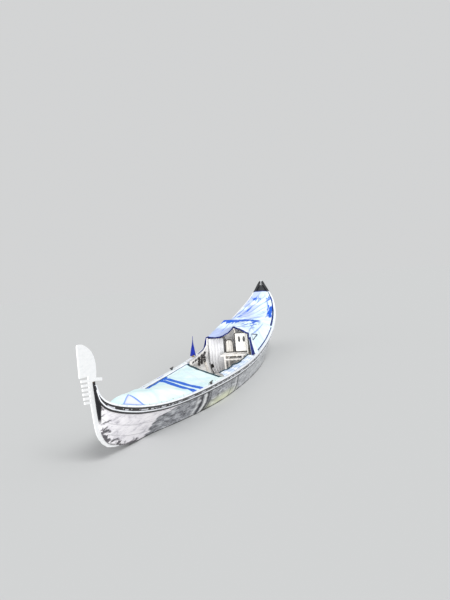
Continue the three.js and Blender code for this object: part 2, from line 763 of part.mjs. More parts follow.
// The stern cover, from the seat back to the black stern
const STERN_COVER = { fore: -2470, aft: -4640, rise: 152, end: 26, inset: 24 };
function sternCover() {
  const across = [-1, -0.94, -0.6, 0, 0.45, 0.8, 1];
  const rows = 11;
  const top = Array.from({ length: rows + 1 }, (_, k) => {
    const s = k / rows;
    const x = mix(STERN_COVER.fore, STERN_COVER.aft, s);
    const edge = sheerAt(x);
    const rise = mix(STERN_COVER.rise, STERN_COVER.end, Math.min(1, s * 2.4));
    return across.map((q) => {
      const half = (q > 0 ? edge.port : edge.starboard) - STERN_COVER.inset;
      const crown = 1 - Math.abs(q) ** (q > 0 ? 3 : 8);
      return V(x, q * half, railTop(x) + CLOTH + 2 + rise * crown);
    });
  });
  return thicken(top, CLOTH);
}
add("stern_cover", "blue_tarpaulin", sternCover());

// What carries the tent: a ridge pole on the seat back and a prop, and a prop at the port corner
const POLE = 15;
add("tent_ridge_pole", "timber", rod(V(-2408, 198, 1020), V(-900, 249, 1044), POLE));
add("tent_prop_middle", "timber", rod(V(-968, 247, FLOOR_TOP + 1), V(-968, 247, 1026), POLE));
add("tent_prop_port", "timber", rod(V(-655, 566, FLOOR_TOP + 1), V(-657, 568, 962), POLE));

// Metalwork

// The bow iron: a blade with six teeth forward and one aft, and a strip down the stem's nose.
const IRON = { thick: 14, teeth: 6, pitch: 53, tooth: 30, lean: 24, top: 1289 };
const COMB_FOOT = { root: 5201, tip: 5352 };
const COMB_HEAD = { root: 5208, tip: 5381 };
const BLADE = [
  [5204, 1302],
  [5412, 1315],
  [5407, 1537],
  [5403, 1690],
  [5385, 1704],
  [5340, 1706],
  [5284, 1697],
  [5225, 1677],
  [5167, 1650],
  [5108, 1614],
  [5054, 1571],
  [5007, 1507],
  [4987, 1455],
  [4979, 1404],
  [4984, 1310],
  [5001, 1246],
  [4841, 1217],
  [4845, 1178],
  [5036, 1214],
  [STEM_HEAD.x + NOSE + 2, 1214],
];
const STRIP = [
  [4562, 262],
  [4704, 288],
  [4878, 340],
  [5005, 420],
  [5084, 499],
  [5130, 570],
  [5153, 640],
  [5170, 740],
  [5182, 850],
  [5196, 950],
];
function bowIron() {
  const stem = STEM_LINE.map((point, k) => {
    const normal = postNormal(STEM_LINE, k);
    return [point.x + (NOSE + 1.5) * normal.x, point.z + (NOSE + 1.5) * normal.z];
  }).reverse();
  const comb = Array.from({ length: IRON.teeth }, (_, k) => {
    const share = k / (IRON.teeth - 1);
    const root = mix(COMB_FOOT.root, COMB_HEAD.root, share);
    const tip = mix(COMB_FOOT.tip, COMB_HEAD.tip, share);
    const high = IRON.top - (IRON.teeth - 1 - k) * IRON.pitch;
    const low = high - IRON.tooth;
    return [
      [root, low - IRON.lean],
      [tip, low],
      [tip, high],
      [root, high - IRON.lean],
    ];
  }).flat();
  return sideBoard(outline([...BLADE, ...stem, ...STRIP, ...comb]), 0, IRON.thick);
}
add("bow_iron", "steel", bowIron());

// A small iron along the stern post's head
function sternIron() {
  const inner = STERN_LINE.slice(-3).map((point, k) => {
    const normal = postNormal(STERN_LINE, STERN_LINE.length - 3 + k);
    return [point.x + (NOSE + 1.5) * normal.x, point.z + (NOSE + 1.5) * normal.z];
  });
  const outer = inner.map(([x, z]) => [x - 12, z - 3]).reverse();
  const curl = [
    [-5300, 1800],
    [-5270, 1806],
    [-5268, 1814],
    [-5312, 1818],
    [-5326, 1808],
  ];
  return sideBoard(outline([...inner, ...curl, ...outer]), 0, 20);
}
add("stern_iron", "steel", sternIron());

// The brass ornament on the starboard rail, and the cloth hood that covers it
const ORNAMENT = { x: -420, out: 15, lean: 0.075 };
function turned(profile, sides) {
  const points = profile.map(([r, z]) => new THREE.Vector2(r, z));
  const geometry = new THREE.LatheGeometry(points, sides);
  geometry.rotateX(Math.PI / 2 - ORNAMENT.lean);
  const edge = sheerAt(ORNAMENT.x);
  return geometry.translate(ORNAMENT.x, -(edge.starboard - ORNAMENT.out), railTop(ORNAMENT.x) + 4);
}
add(
  "rail_ornament",
  "brass",
  turned(
    [
      [0, 0],
      [28, 0],
      [28, 12],
      [12, 20],
      [9, 80],
      [24, 120],
      [27, 160],
      [14, 200],
      [7, 250],
      [0, 320],
    ],
    12,
  ),
);
add(
  "ornament_hood",
  "hood",
  turned(
    [
      [0, 425],
      [3, 420],
      [6, 340],
      [13, 270],
      [30, 180],
      [53, 46],
      [59, 18],
      [54, 18],
      [48, 48],
      [25, 182],
      [8, 266],
      [0, 345],
    ].reverse(),
    14,
  ),
);

// Cleats on the cap rails
const CLEATS = [
  { name: "cleat_port", side: 1, x: 2420 },
  { name: "cleat_starboard", side: -1, x: 880 },
];
function cleat(x, side) {
  const edge = sheerAt(x);
  const y = side * ((side > 0 ? edge.port : edge.starboard) - 2);
  const z = railTop(x) + 1;
  const base = box(x - 30, x + 30, y - 11, y + 11, z, z + 24);
  const horn = rod(V(x - 75, y, z + 34), V(x + 75, y, z + 34), 11, 8);
  const neck = box(x - 22, x + 22, y - 8, y + 8, z + 10, z + 34);
  return join(base, neck, horn);
}
CLEATS.forEach(({ name, side, x }) => add(name, "black", cleat(x, side)));

export default gondola;
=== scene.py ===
import math

import bpy
import numpy as np
from mathutils import Matrix, Vector
from mathutils.bvhtree import BVHTree


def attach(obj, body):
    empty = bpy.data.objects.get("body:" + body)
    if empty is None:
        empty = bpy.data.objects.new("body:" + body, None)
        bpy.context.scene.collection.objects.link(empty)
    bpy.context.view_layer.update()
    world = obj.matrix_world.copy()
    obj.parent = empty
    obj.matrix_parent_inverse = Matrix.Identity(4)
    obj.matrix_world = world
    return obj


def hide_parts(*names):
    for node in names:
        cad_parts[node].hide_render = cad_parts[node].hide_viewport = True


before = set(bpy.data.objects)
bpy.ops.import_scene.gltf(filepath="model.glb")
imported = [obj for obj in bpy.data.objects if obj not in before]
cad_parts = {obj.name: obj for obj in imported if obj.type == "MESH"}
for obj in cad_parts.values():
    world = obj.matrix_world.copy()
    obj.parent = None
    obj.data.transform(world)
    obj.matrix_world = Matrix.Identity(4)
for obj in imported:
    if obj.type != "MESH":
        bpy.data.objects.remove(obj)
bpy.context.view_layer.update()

scene = bpy.context.scene
scene.view_settings.view_transform = "Standard"  # paint comes out as bright as its own colour

WATERLINE = 0.17

# Camera: ahead of the boat and to port, turned with the boat's 3.5 degree list

camera_data = bpy.data.cameras.new("camera")
camera_data.lens = 39.06  # mm, for a picture 36 mm on its longer side
camera_data.clip_end = 300
camera = bpy.data.objects.new("camera", camera_data)
RIGHT = (-0.2540566, 0.9630481, -0.0894071)
UP = (-0.0890995, 0.0687430, 0.9936477)
AHEAD = (-0.9630766, -0.2604089, -0.0683425)
STANDS_AT = (12.16278, 3.65121, 2.58806)
camera.matrix_world = Matrix(
    [[r, u, -a, p] for r, u, a, p in zip(RIGHT, UP, AHEAD, STANDS_AT)] + [[0, 0, 0, 1]]
)
scene.collection.objects.link(camera)
scene.camera = camera


# Meshes


def add_mesh(name, points, faces, material, smooth=True):
    """A piece with one material, from its points and faces."""
    mesh = bpy.data.meshes.new(name)
    mesh.from_pydata([tuple(p) for p in points], [], [tuple(f) for f in faces])
    mesh.polygons.foreach_set("use_smooth", [smooth] * len(mesh.polygons))
    mesh.materials.append(material)
    mesh.update()
    made = bpy.data.objects.new(name, mesh)
    scene.collection.objects.link(made)
    return made


def unit(vectors):
    """The vectors, each made 1 long."""
    return vectors / np.maximum(np.linalg.norm(vectors, axis=-1, keepdims=True), 1e-12)


def grid_normals(top, loop=False):
    """The way a grid of points faces, its bigger part upwards or outwards, and whether its rows had to be
    turned for that."""
    if loop:
        wrapped = np.concatenate([top[:, -1:], top, top[:, :1]], axis=1)
        across = np.gradient(wrapped, axis=1)[:, 1:-1]
    else:
        across = np.gradient(top, axis=1)
    normals = unit(np.cross(np.gradient(top, axis=0), across))
    if loop:
        away = (normals * (top - top.mean(axis=1, keepdims=True))).sum(-1).mean()
    else:
        away = normals[..., 2].mean() if abs(normals[..., 2].mean()) > 0.1 else normals[..., 0].mean()
    return (-normals, True) if away < 0 else (normals, False)


def run_lengths(grid, axis):
    """How far along a grid each of its points lies, one way."""
    first = np.zeros_like(np.take(grid, [0], axis=axis)[..., 0])
    steps = np.linalg.norm(np.diff(grid, axis=axis), axis=-1)
    return np.concatenate([first, np.cumsum(steps, axis=axis)], axis=axis)


def add_sheet(name, top, thick, material, marks=None, loop=False):
    """A closed sheet: a grid of points, the same points moved in by its thickness, and its rim. It gets a UV
    map in metres along the cloth, and an attribute for each of the marks, which colour it."""
    rows, cols = top.shape[:2]
    normals, turned = grid_normals(top, loop)
    below = top - normals * thick
    index = np.arange(rows * cols).reshape(rows, cols)
    if loop:
        index = np.concatenate([index, index[:, :1]], axis=1)
    a, b, c, d = index[:-1, :-1], index[1:, :-1], index[1:, 1:], index[:-1, 1:]
    upper = np.stack([a, b, c, d], axis=-1).reshape(-1, 4)
    if turned:
        upper = upper[:, ::-1]
    size = rows * cols
    lower = upper[:, ::-1] + size
    rims = [(index[0], False), (index[-1], True)]
    if not loop:
        rims += [(index[:, 0], True), (index[:, -1], False)]
    sides = []
    for line, backwards in rims:
        p, q = line[:-1], line[1:]
        quads = np.stack([p, q, q + size, p + size], axis=-1)
        sides.append(quads[:, ::-1] if backwards != turned else quads)
    faces = np.concatenate([upper, lower, *sides])
    made = add_mesh(name, np.concatenate([top, below]).reshape(-1, 3), faces, material)
    flat = np.stack([run_lengths(top, 1), run_lengths(top, 0)], axis=-1).reshape(-1, 2)
    flat = np.concatenate([flat, flat])
    corners = np.zeros(len(made.data.loops), int)
    made.data.loops.foreach_get("vertex_index", corners)
    made.data.uv_layers.new(name="cloth").data.foreach_set("uv", flat[corners].ravel())
    for mark, values in (marks or {}).items():
        layer = made.data.attributes.new(mark, "FLOAT", "POINT")
        both = np.concatenate([values.ravel(), values.ravel()]).astype(np.float32)
        layer.data.foreach_set("value", both)
    return made


SIDES = 8  # of a round bar


def add_tube(name, lines, material):
    """Round bars along lines of points. Each line is (points, radii), and its ends are rounded off."""
    points, faces = [], []
    for line, radii in lines:
        line = np.array(line, float)
        radii = np.broadcast_to(np.array(radii, float), (len(line),))
        way = unit(np.gradient(line, axis=0))
        side = unit(np.cross(way[0], (0.31, 0.2, 0.93)))
        start = len(points)
        for k, (p, w, r) in enumerate(zip(line, way, radii)):
            side = unit(side - w * (side @ w))
            other = np.cross(w, side)
            for n in range(SIDES):
                turn = 2 * math.pi * n / SIDES
                points.append(p + r * (math.cos(turn) * side + math.sin(turn) * other))
        for k in range(len(line) - 1):
            for n in range(SIDES):
                m = (n + 1) % SIDES
                row = start + k * SIDES
                faces.append((row + n, row + m, row + SIDES + m, row + SIDES + n))
        for k, (p, w, r) in enumerate([(line[0], -way[0], radii[0]), (line[-1], way[-1], radii[-1])]):
            tip = len(points)
            points.append(p + w * r * 0.7)
            ring = start + (k * (len(line) - 1)) * SIDES
            for n in range(SIDES):
                m = (n + 1) % SIDES
                faces.append((ring + m, ring + n, tip) if k == 0 else (ring + n, ring + m, tip))
    return add_mesh(name, points, faces, material)


def surface_of(points, faces):
    """A surface that rays can be cast at."""
    return BVHTree.FromPolygons([tuple(p) for p in points], [tuple(f) for f in faces])


def cad_surface(node_name):
    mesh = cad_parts[node_name].data
    return surface_of([v.co for v in mesh.vertices], [p.vertices for p in mesh.polygons])


def piece_surface(piece):
    return surface_of([v.co for v in piece.data.vertices], [p.vertices for p in piece.data.polygons])


def dense(path, step):
    """A path of points, filled in to about this step."""
    path = np.array(path, float)
    out = []
    for a, b in zip(path[:-1], path[1:]):
        count = max(1, int(round(np.linalg.norm(b - a) / step)))
        out += [a + (b - a) * k / count for k in range(count)]
    return np.array(out + [path[-1]])


DOWN = np.array((0.0, 0.0, -1.0))
OVER_BOW_COVER = 1.2  # a height that clears the bow cover
TAPE_STEP = 0.02


def tape_on(surface, path, wide, lift=0.0022):
    """A band sewn on a cover along a path of (x, y): a grid of points a little over the cover."""
    line = dense([(x, y, OVER_BOW_COVER) for x, y in path], TAPE_STEP)
    way = unit(np.gradient(line, axis=0))
    rows = []
    for middle, across in zip(line, unit(np.cross(way, DOWN))):
        row = []
        for share in (-0.5, -0.17, 0.17, 0.5):
            above = middle + across * wide * share
            place, _, _, _ = surface.ray_cast(tuple(above), tuple(DOWN))
            if place is None:
                place, _, _, _ = surface.find_nearest(tuple(above))
            row.append(np.array(place) - DOWN * lift)
        rows.append(row)
    return np.array(rows)


# The sheer, as the hull's stations give it: x, height, half-breadth to port and to starboard

SHEER = np.array(
    [
        (-5296, 1778, 30, 30), (-5225, 1756, 60, 42), (-5130, 1724, 98, 50), (-5020, 1683, 144, 56),
        (-4860, 1618, 216, 66), (-4640, 1520, 318, 92), (-4350, 1378, 448, 152), (-3700, 1148, 618, 286),
        (-2800, 903, 752, 416), (-1900, 708, 796, 492), (-1000, 588, 806, 540), (0, 540, 818, 554),
        (1000, 537, 797, 538), (2000, 552, 722, 518), (2900, 570, 604, 474), (3700, 608, 446, 368),
        (4300, 696, 294, 248), (4640, 783, 202, 168), (4830, 849, 144, 116), (4960, 913, 102, 84),
        (5040, 982, 70, 62), (5082, 1066, 44, 42), (5100, 1165, 30, 30),
    ]
) / 1000
RAIL_HIGH = 0.022


def fair(x, table):
    """The table's columns at x, along cubic curves. The slope at a row is the mean of the two beside it."""
    knots, values = table[:, 0], table[:, 1:]
    x = np.clip(np.asarray(x, float), knots[0], knots[-1])
    i = np.clip(np.searchsorted(knots, x, side="right") - 1, 0, len(knots) - 2)
    rise = np.diff(values, axis=0) / np.diff(knots)[:, None]
    slope = np.concatenate([rise[:1], (rise[:-1] + rise[1:]) / 2, rise[-1:]])
    h = (knots[i + 1] - knots[i])[..., None]
    t = ((x - knots[i])[..., None]) / h
    a, b, da, db = values[i], values[i + 1], slope[i] * h, slope[i + 1] * h
    return a + da * t + (3 * (b - a) - 2 * da - db) * t**2 + (2 * (a - b) + da + db) * t**3


def sheer_half(x, side):
    """The half-breadth at the sheer, on the side where side is over 0 (port) or under it (starboard)."""
    line = fair(x, SHEER)
    return np.where(np.asarray(side) >= 0, line[..., 1], line[..., 2])


def rail_top(x):
    """The height of the cap rails' top face at x."""
    x = np.asarray(x, float)
    step = 0.005
    rise = (fair(x + step, SHEER)[..., 0] - fair(x - step, SHEER)[..., 0]) / (2 * step)
    return fair(x, SHEER)[..., 0] + RAIL_HIGH * np.hypot(1, rise)


def mix(a, b, t):
    """From a at 0 to b at 1."""
    return a + (b - a) * t


def step_up(value, low, high):
    """0 below low, 1 above high, and smooth between them."""
    t = np.clip((value - low) / (high - low), 0, 1)
    return t * t * (3 - 2 * t)


WAVES = 9


def ripples(a, b, length, seed):
    """Uneven cloth: waves about this many metres long in all directions, mostly between -1 and 1."""
    rng = np.random.RandomState(seed)
    total = np.zeros(np.broadcast(a, b).shape)
    for _ in range(WAVES):
        turn, phase = rng.uniform(0, 2 * math.pi, 2)
        size = length * rng.uniform(0.6, 1.6)
        total += np.sin(2 * math.pi * (a * math.cos(turn) + b * math.sin(turn)) / size + phase)
    return total / math.sqrt(WAVES)


def near(a, b, path, width):
    """1 on a line through the points of a path, falling to 0 some widths away, and fading at its ends."""
    path = np.array(path, float)
    lengths = np.linalg.norm(np.diff(path, axis=0), axis=1)
    nearest = np.full(np.shape(a), 1e9)
    place = np.zeros(np.shape(a))
    for k, (p, q) in enumerate(zip(path[:-1], path[1:])):
        way = (q - p) / lengths[k] ** 2
        t = np.clip((a - p[0]) * way[0] + (b - p[1]) * way[1], 0, 1)
        away = np.hypot(a - (p[0] + t * (q - p)[0]), b - (p[1] + t * (q - p)[1]))
        closer = away < nearest
        nearest = np.where(closer, away, nearest)
        place = np.where(closer, (lengths[:k].sum() + t * lengths[k]) / lengths.sum(), place)
    return np.exp(-((nearest / width) ** 1.5)) * np.sin(math.pi * np.clip(place, 0.03, 0.97)) ** 0.35


def softened(grid, rows=0.0, cols=0.0):
    """A grid blurred by some rows and columns, with its rim kept in place."""
    out = np.array(grid, float)
    for axis, blur in ((0, rows), (1, cols)):
        if blur <= 0:
            continue
        reach = int(math.ceil(3 * blur))
        weights = np.exp(-0.5 * (np.arange(-reach, reach + 1) / blur) ** 2)
        weights /= weights.sum()
        moved = np.moveaxis(out, axis, 0)
        first, last = moved[:1], moved[-1:]
        padded = np.concatenate(
            [2 * first - moved[reach:0:-1], moved, 2 * last - moved[-2 : -reach - 2 : -1]]
        )
        moved = sum(w * padded[k : k + len(moved)] for k, w in enumerate(weights))
        out = np.moveaxis(moved, 0, axis)
    return out


# Finishes


def linear(colour):
    """A colour written as sRGB hex, as the linear numbers that a shader takes."""
    parts = [int(colour[k : k + 2], 16) / 255 for k in (1, 3, 5)]
    return (*[c / 12.92 if c <= 0.04045 else ((c + 0.055) / 1.055) ** 2.4 for c in parts], 1.0)


def node(tree, kind, inputs=None, stops=None, bends=None, **settings):
    """Adds a node with its settings. An input that is given a socket is linked to it, and one that is given
    a value is set. stops are a ramp's (place, colour), and bends a curve's (from, to)."""
    made = tree.nodes.new(kind)
    for name, value in settings.items():
        setattr(made, name, value)
    if stops:
        (first, *middle, last), ramp = stops, made.color_ramp
        for element, (place, colour) in zip(ramp.elements, (first, last)):
            element.position, element.color = place, linear(colour)
        for place, colour in middle:
            ramp.elements.new(place).color = linear(colour)
    if bends:
        curve = made.mapping.curves[0]
        curve.points[0].location, curve.points[-1].location = bends[0], bends[-1]
        for place in bends[1:-1]:
            curve.points.new(*place)
        made.mapping.update()
    for key, value in (inputs or {}).items():
        socket = next(s for s in made.inputs if key in (s.identifier, s.name))
        if isinstance(value, bpy.types.NodeSocket):
            tree.links.new(value, socket)
        elif isinstance(value, str) and value.startswith("#"):
            socket.default_value = linear(value)
        else:
            socket.default_value = value
    return made


def blank(name, **even):
    """A material with its tree and surface. What is the same all over is set on the surface itself."""
    made = bpy.data.materials.new(name)
    made.use_nodes = True
    surface = made.node_tree.nodes["Principled BSDF"]
    for key, value in even.items():
        socket = surface.inputs[key.replace("_", " ")]
        socket.default_value = linear(value) if isinstance(value, str) else value
    return made, made.node_tree, surface


def connect(tree, surface, colour, roughness, height, distance, strength):
    """Links a finish's colour, roughness and relief to its surface. The relief is distance metres deep."""
    relief = node(tree, "ShaderNodeBump", {"Height": height, "Distance": distance, "Strength": strength})
    tree.links.new(colour, surface.inputs["Base Color"])
    tree.links.new(roughness, surface.inputs["Roughness"])
    tree.links.new(relief.outputs["Normal"], surface.inputs["Normal"])


HALF_LENGTH = 5.3  # the curve that follows the sheer runs this far each way from amidships
CURVE_HIGH = 2.0  # and a float curve's values, 0 to 1, stand for heights up to this


def under_sheer(tree, x, z):
    """How far a place on the side lies under the sheer."""
    along = node(
        tree, "ShaderNodeMapRange", {"Value": x, "From Min": -HALF_LENGTH, "From Max": HALF_LENGTH},
    )
    # the sheer turns up most sharply at the bow, so its knots stand closer there
    xs = np.concatenate([np.linspace(-HALF_LENGTH, 4.4, 30), np.linspace(4.5, 5.1, 9)])
    heights = fair(xs, SHEER)[:, 0]
    knots = [((a + HALF_LENGTH) / (2 * HALF_LENGTH), h / CURVE_HIGH) for a, h in zip(xs, heights)]
    line = node(tree, "ShaderNodeFloatCurve", {"Value": along.outputs[0]}, bends=knots)
    high = node(
        tree, "ShaderNodeMath", {"Value": line.outputs[0], "Value_001": CURVE_HIGH}, operation="MULTIPLY",
    )
    down = node(tree, "ShaderNodeMath", {"Value": high.outputs[0], "Value_001": z}, operation="SUBTRACT")
    return down.outputs[0]


# The painted shadows of mooring posts on the side, and the painted highlights beside them: how far ahead of
# amidships, and how strong
POST_SHADOWS = [
    (0.98, 0), (1.03, 0.8), (1.08, 0), (1.35, 0), (1.39, 0.55), (1.43, 0), (2.27, 0), (2.31, 0.7),
    (2.35, 0.35), (2.40, 0.9), (2.46, 0.1), (2.55, 0), (2.62, 0.95), (2.69, 0),
]
POST_HIGHLIGHTS = [
    (1.08, 0), (1.13, 0.5), (1.20, 0), (2.42, 0), (2.50, 0.85), (2.57, 0), (2.68, 0), (2.74, 0.5), (2.82, 0),
]
POST_MARKS_START, POST_MARKS_LONG = 0.8, 2.1
# How far these painted shadows and highlights have turned towards the bow, by height
POST_MARKS_TURN = [
    (0, 0.30), (0.135, 0.15), (0.18, 0.10), (0.22, 0.06), (0.31, 0.01), (0.43, 0.03), (0.6, 0.05), (1, 0.05),
]
# The line of the stem's foot: height, x
STEM_FOOT = [
    (0.17, 4.02), (0.24, 4.247), (0.271, 4.439), (0.326, 4.641), (0.383, 4.806), (0.44, 4.908),
    (0.547, 5.014), (0.631, 5.044), (1.0, 5.07),
]
FOOT_START, FOOT_LONG = 4.0, 1.2


def hull_paint():
    # Oil paint brushed on planks and long afloat: a mottled grey, chalky white at the bow and washed out
    # aft, both also paler as painted light: lit at the bow, a painted sky reflection aft. Painted shadows of
    # mooring posts run down the side with painted highlights beside them, a painted reflection of sunlit
    # water lies yellow-green low on the side, painted shade darkens the stem's foot, and the well is cream.
    made, tree, surface = blank("oil paint, brushed on planks, weathered", Specular_IOR_Level=0.3)
    place = node(tree, "ShaderNodeTexCoord").outputs["Object"]
    x, y, z = node(tree, "ShaderNodeSeparateXYZ", {"Vector": place}).outputs
    # patches about 200 mm long and 60 mm high
    patch_at = node(tree, "ShaderNodeMapping", {"Vector": place, "Scale": (4.5, 9, 15)})
    patches = node(
        tree, "ShaderNodeTexNoise",
        {"Vector": patch_at.outputs[0], "Scale": 1.0, "Detail": 7.0, "Roughness": 0.66, "Distortion": 0.5},
    ).outputs["Fac"]
    # strokes about 20 mm high that run down towards the bow; real scratches are 1-3 mm, too fine to show
    stroke_at = node(
        tree, "ShaderNodeMapping",
        {"Vector": place, "Rotation": (0, math.radians(-32), 0), "Scale": (6, 14, 54)},
    )
    strokes = node(
        tree, "ShaderNodeTexNoise",
        {"Vector": stroke_at.outputs[0], "Scale": 1.0, "Detail": 4.0, "Roughness": 0.7, "Distortion": 1.0},
    ).outputs["Fac"]
    amid = node(
        tree, "ShaderNodeValToRGB", {"Fac": patches},
        stops=[
            (0.33, "#414347"), (0.43, "#717378"), (0.52, "#9c9ea3"), (0.62, "#c2c4c8"), (0.75, "#dcdde0"),
        ],
    ).outputs["Color"]
    # pale grey aft: weathered paint, and a painted reflection of the sky on the side
    wear_and_reflection = node(
        tree, "ShaderNodeValToRGB", {"Fac": patches},
        stops=[(0.30, "#a6a8ac"), (0.42, "#bbbdc0"), (0.55, "#cdcfd1"), (0.7, "#dcdedf")],
    ).outputs["Color"]
    chalk_and_light = node(
        tree, "ShaderNodeValToRGB", {"Fac": patches},
        stops=[(0.31, "#9a979e"), (0.39, "#cfccd2"), (0.48, "#e8e5e9"), (0.7, "#f3f1f3")],
    ).outputs["Color"]
    # the strokes are clear forward of amidships and faint aft
    drawn = node(
        tree, "ShaderNodeMapRange",
        {"Value": x, "From Min": -2.2, "From Max": 1.6, "To Min": 0.18, "To Max": 0.85},
    )
    light_strokes = node(
        tree, "ShaderNodeMapRange",
        {"Value": strokes, "From Min": 0.56, "From Max": 0.66, "To Max": drawn.outputs[0]},
    ).outputs[0]
    dark_strokes = node(
        tree, "ShaderNodeMapRange",
        {"Value": strokes, "From Min": 0.46, "From Max": 0.36, "To Max": drawn.outputs[0]},
    ).outputs[0]
    # the washed-out part begins in patches amidships; its paleness is partly weathered paint and partly a
    # painted reflection of the sky
    aft = node(
        tree, "ShaderNodeMath",
        {"Value": patches, "Value_001": 0.9, "Value_002": x}, operation="MULTIPLY_ADD",
    )
    aft = node(tree, "ShaderNodeMapRange", {"Value": aft.outputs[0], "From Min": 2.6, "From Max": -0.4})
    # the chalky bow starts 3.87 m ahead of amidships, and further aft just under the black band; its white
    # is partly chalky paint and partly painted light, where the bow is lit
    over = node(
        tree, "ShaderNodeMapRange", {"Value": z, "From Min": 0.43, "From Max": 0.48, "To Max": 0.5},
    )
    lean = node(tree, "ShaderNodeMath", {"Value": over.outputs[0], "Value_001": x}, operation="ADD")
    ragged = node(
        tree, "ShaderNodeMath",
        {"Value": patches, "Value_001": 0.5, "Value_002": lean.outputs[0]}, operation="MULTIPLY_ADD",
    )
    bow = node(
        tree, "ShaderNodeMapRange",
        {"Value": ragged.outputs[0], "From Min": 4.07, "From Max": 4.17}, interpolation_type="SMOOTHSTEP",
    )
    faint = node(tree, "ShaderNodeMath", {"Value": dark_strokes, "Value_001": 0.45}, operation="MULTIPLY")
    # painted reflection: the yellow-green light of sunlit water, low on the side, strongest 1.75 m ahead of
    # amidships
    reflection_at = node(
        tree, "ShaderNodeVectorMath",
        {"Vector": place, "Vector_001": (1.75, 0.62, 0.20)}, operation="SUBTRACT",
    )
    reflection_at = node(
        tree, "ShaderNodeVectorMath",
        {"Vector": reflection_at.outputs[0], "Vector_001": (1.4, 2.0, 9.0)}, operation="MULTIPLY",
    )
    sunlit_reflection = node(tree, "ShaderNodeVectorMath", {"Vector": reflection_at.outputs[0]}, operation="LENGTH")
    sunlit_reflection = node(
        tree, "ShaderNodeMapRange",
        {"Value": sunlit_reflection.outputs["Value"], "From Min": 1.25, "From Max": 0.35, "To Max": 0.75},
    )
    # painted shadows of mooring posts down the side, with painted highlights beside them, which turn towards
    # the bow at their foot
    turn = node(tree, "ShaderNodeFloatCurve", {"Value": z}, bends=POST_MARKS_TURN)
    turned = node(tree, "ShaderNodeMath", {"Value": x, "Value_001": turn.outputs[0]}, operation="SUBTRACT")
    turned = node(
        tree, "ShaderNodeMath",
        {"Value": patches, "Value_001": 0.10, "Value_002": turned.outputs[0]}, operation="MULTIPLY_ADD",
    )
    # a patch adds about 0.05 to the place, so the map starts that much later
    post_mark_at = node(
        tree, "ShaderNodeMapRange",
        {
            "Value": turned.outputs[0],
            "From Min": POST_MARKS_START + 0.05, "From Max": POST_MARKS_START + POST_MARKS_LONG + 0.05,
        },
    )
    post_marks = [
        node(
            tree, "ShaderNodeFloatCurve", {"Value": post_mark_at.outputs[0]},
            bends=[(0, 0), *[((at - POST_MARKS_START) / POST_MARKS_LONG, amount) for at, amount in line], (1, 0)],
        ).outputs[0]
        for line in (POST_SHADOWS, POST_HIGHLIGHTS)
    ]
    # painted shade in blotches along the stem's foot, the black side of the stem over them, and the wet line
    # at the water
    foot = node(
        tree, "ShaderNodeFloatCurve", {"Value": z},
        bends=[(0, 0.0), *[(h, (at - FOOT_START) / FOOT_LONG) for h, at in STEM_FOOT]],
    )
    ahead = node(
        tree, "ShaderNodeMath",
        {"Value": foot.outputs[0], "Value_001": -FOOT_LONG, "Value_002": x}, operation="MULTIPLY_ADD",
    )
    ahead = node(
        tree, "ShaderNodeMath",
        {"Value": patches, "Value_001": -1.3, "Value_002": ahead.outputs[0]}, operation="MULTIPLY_ADD",
    )
    stem_shade = node(
        tree, "ShaderNodeMapRange",
        {"Value": ahead.outputs[0], "From Min": 3.30, "From Max": 3.40, "To Max": 0.9},
    )
    stem_high = node(tree, "ShaderNodeMapRange", {"Value": z, "From Min": 0.64, "From Max": 0.74})
    stem = node(
        tree, "ShaderNodeMapRange",
        {"Value": x, "From Min": 5.030, "From Max": 5.046, "To Max": stem_high.outputs[0]},
    )
    wet = node(
        tree, "ShaderNodeMath",
        {"Value": patches, "Value_001": 0.05, "Value_002": z}, operation="MULTIPLY_ADD",
    )
    wet = node(
        tree, "ShaderNodeMapRange",
        {"Value": wet.outputs[0], "From Min": 0.216, "From Max": 0.206, "To Max": 0.9},
    )
    # faint seams between the planks, 230 and 370 mm under the sheer
    down = under_sheer(tree, x, z)
    seams = [
        node(
            tree, "ShaderNodeMath",
            {"Value": down, "Value_001": deep, "Value_002": 0.004}, operation="COMPARE",
        )
        for deep in (0.23, 0.37)
    ]
    seam = node(
        tree, "ShaderNodeMath",
        {"Value": seams[0].outputs[0], "Value_001": seams[1].outputs[0]}, operation="ADD",
    )
    seam = node(tree, "ShaderNodeMath", {"Value": seam.outputs[0], "Value_001": 0.35}, operation="MULTIPLY")
